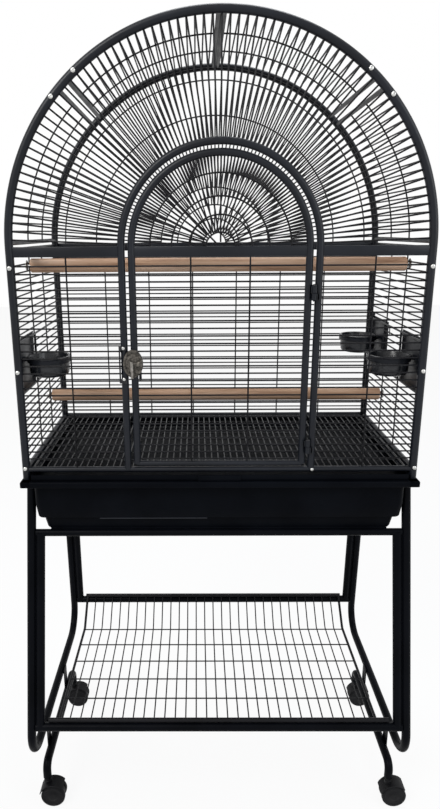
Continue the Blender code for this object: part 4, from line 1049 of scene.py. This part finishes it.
def castor(name, side, stem_y):
    """A hooded twin-wheel castor with ribbed treads and hub caps."""
    stem_x = side * RUNNER_X
    axle = Vector((stem_x + WHEEL_TRAIL, stem_y, WHEEL_R))
    work = bmesh.new()
    neck = [(0, 0.0515), (0.0075, 0.0515), (0.0075, 0.0570), (0.0062, 0.0578), (0.0062, ELBOW_LOW_Z - GAP)]
    lathe(work, neck + [(0, ELBOW_LOW_Z - GAP)], Matrix.Translation((stem_x, stem_y, 0)), 24)
    web = [(0.0042, -0.0045), (0.0227, -0.0045), (0.0232, -0.0040)]
    web += [(0.0232, 0.0040), (0.0227, 0.0045), (0.0042, 0.0045)]
    lathe(work, web + web[:1], along_y(*axle), 40)
    hood(work, axle)
    tie_low = axle + Vector((-CASTOR_TIE_HALF_X, -CASTOR_TIE_HALF_Y, CASTOR_TIE_HEIGHTS[0]))
    tie_high = axle + Vector((CASTOR_TIE_HALF_X, CASTOR_TIE_HALF_Y, CASTOR_TIE_HEIGHTS[1]))
    block(work, tie_low, tie_high, 0.0008)
    node = f"castor_fork_{name}"
    piece(f"castor_hood_{name}", work, TYRE, f"castor_{name}", [node])
    work = bmesh.new()
    radius, half = WHEEL_SHAFT_R, WHEEL_SHAFT_HALF
    shaft = [(0, -half), (radius, -half), (radius, half), (0, half)]
    lathe(work, shaft, along_y(*axle), 20)
    for way in (-1, 1):
        outline = [(0, 0.0050), (0.0160, 0.0050), (0.0237, 0.0055)]
        outline += [(WHEEL_R - 0.0004, 0.0062), (WHEEL_R, 0.0074)]
        outline += [(WHEEL_R, 0.0090), (WHEEL_R - 0.0006, 0.0095)]
        outline += [(WHEEL_R - 0.0006, 0.0100), (WHEEL_R, 0.0105)]
        outline += [(WHEEL_R, 0.0124), (WHEEL_R - 0.0008, 0.0138)]
        outline += [(WHEEL_R - 0.0030, 0.0146), (0.0203, 0.0148)]
        outline += [(0.0195, 0.0140), (0.0110, 0.0134), (0.0092, 0.0145), (0.0055, 0.0148), (0, 0.0148)]
        lathe(work, outline, along_y(*axle) @ Matrix.Rotation(math.pi if way < 0 else 0, 4, "X"), 48)
    node = f"castor_wheels_{name}"
    piece(f"castor_wheel_pair_{name}", work, TYRE, f"wheels_{name}", [node])


def hood(work, axle):
    """The curved cover over both wheels, from its rear lip over the top to its front lip."""
    outer, inner, half, edge = HOOD_OUTER_R, HOOD_INNER_R, HOOD_HALF_Y, HOOD_EDGE
    first, last = HOOD_TURNS
    turns = [first + (last - first) * i / HOOD_STEPS for i in range(HOOD_STEPS + 1)]
    section = [(inner, -half), (outer - edge, -half), (outer, -half + edge), (outer, half - edge)]
    section += [(outer - edge, half), (inner, half)]
    rings = []
    for turn in turns:
        ray = Vector((math.cos(math.radians(turn)), 0, math.sin(math.radians(turn))))
        rings.append([work.verts.new(axle + ray * r + Vector((0, y, 0))) for r, y in section])
    for low, high in zip(rings, rings[1:]):
        for j in range(len(section)):
            k = (j + 1) % len(section)
            work.faces.new((low[j], high[j], high[k], low[k]))
    work.faces.new(rings[0])
    work.faces.new(rings[-1][::-1])


def shown_rays(tree):
    """1 for rays that show the background: camera, glossy and transmission rays."""
    path = tree.nodes.new("ShaderNodeLightPath")
    total = path.outputs["Is Camera Ray"]
    for kind in ("Is Glossy Ray", "Is Transmission Ray"):
        added = tree.nodes.new("ShaderNodeMath")
        added.operation = "MAXIMUM"
        tree.links.new(total, added.inputs[0])
        tree.links.new(path.outputs[kind], added.inputs[1])
        total = added.outputs[0]
    return total


def stage():
    floor_mesh = bpy.data.meshes.new("floor")
    far = FLOOR_HALF
    corners = [(-far, -far, 0), (far, -far, 0), (far, far, 0), (-far, far, 0)]
    floor_mesh.from_pydata(corners, [], [(0, 1, 2, 3)])
    floor = bpy.data.objects.new("floor", floor_mesh)
    bpy.context.scene.collection.objects.link(floor)
    made, tree, shader = new_material("pale_floor", 0.9, specular=0.1)
    shader.inputs["Base Color"].default_value = (0.86, 0.86, 0.86, 1)
    glow = tree.nodes.new("ShaderNodeEmission")
    mix = tree.nodes.new("ShaderNodeMixShader")
    share = tree.nodes.new("ShaderNodeMath")
    share.operation = "MULTIPLY"
    share.inputs[1].default_value = FLOOR_SHOWN
    tree.links.new(shown_rays(tree), share.inputs[0])
    tree.links.new(share.outputs[0], mix.inputs["Fac"])
    tree.links.new(shader.outputs[0], mix.inputs[1])
    tree.links.new(glow.outputs[0], mix.inputs[2])
    tree.links.new(mix.outputs[0], tree.nodes["Material Output"].inputs["Surface"])
    floor_mesh.materials.append(made)

    world = bpy.data.worlds.new("studio")
    bpy.context.scene.world = world
    world.use_nodes = True
    tree = world.node_tree
    sky = tree.nodes["Background"]
    sky.inputs["Color"].default_value = (0.80, 0.85, 0.92, 1)
    sky.inputs["Strength"].default_value = SKY_STRENGTH
    white = tree.nodes.new("ShaderNodeBackground")
    white.inputs["Color"].default_value = (1, 1, 1, 1)
    mix = tree.nodes.new("ShaderNodeMixShader")
    tree.links.new(shown_rays(tree), mix.inputs["Fac"])
    tree.links.new(sky.outputs[0], mix.inputs[1])
    tree.links.new(white.outputs[0], mix.inputs[2])
    tree.links.new(mix.outputs[0], tree.nodes["World Output"].inputs["Surface"])


def area_light(name, place, size, power, colour):
    data = bpy.data.lights.new(name, "AREA")
    data.shape = "DISK"
    data.size = size
    data.energy = power
    data.color = colour
    lamp = bpy.data.objects.new(name, data)
    lamp.location = place
    lamp.rotation_euler = (Vector(LAMP_TARGET) - Vector(place)).to_track_quat("-Z", "Y").to_euler()
    bpy.context.scene.collection.objects.link(lamp)


def lights():
    area_light("key", (-1.6, -2.0, 2.9), 1.6, 62.0, (1.0, 0.99, 0.97))
    area_light("fill", (2.2, -1.6, 1.9), 1.8, 26.0, (0.92, 0.96, 1.0))
    area_light("top", (0.2, 0.7, 3.3), 1.6, 42.0, (0.95, 0.97, 1.0))


def camera():
    data = bpy.data.cameras.new("camera")
    data.lens = CAMERA_LENS
    data.sensor_width = 36.0
    data.sensor_fit = "AUTO"
    data.shift_x = CAMERA_SHIFT
    made = bpy.data.objects.new("camera", data)
    heading = Matrix.Rotation(math.radians(CAMERA_HEADING), 4, "Z")
    pitch = Matrix.Rotation(math.radians(CAMERA_PITCH), 4, "X")
    roll = Matrix.Rotation(math.radians(CAMERA_ROLL), 4, "Z")
    made.matrix_world = Matrix.Translation(CAMERA_PLACE) @ heading @ pitch @ roll
    bpy.context.scene.collection.objects.link(made)
    bpy.context.scene.camera = made


def build():
    front_panel()
    rear_panel()
    door()
    latch()
    for name, side in SIDES.items():
        side_panel(name, side, [ENDS[place] for place in FEEDERS[name]])
        for place in FEEDERS[name]:
            feeder(f"{place}_{name}", side, ENDS[place])
        for place in ENDS:
            castor(f"{place}_{name}", side, STEM_Y[place])
    for number, name in enumerate(("right_low", "right_high", "left_high", "left_low")):
        roof_panel(name, 45 * number, 45 * (number + 1))
    crown_strip()
    perches()
    panel_bolts()
    base_pan()
    litter_tray()
    floor_grate()
    stand()
    shelf_basket()


build()
stage()
lights()
camera()
bpy.context.scene.view_settings.view_transform = "Standard"
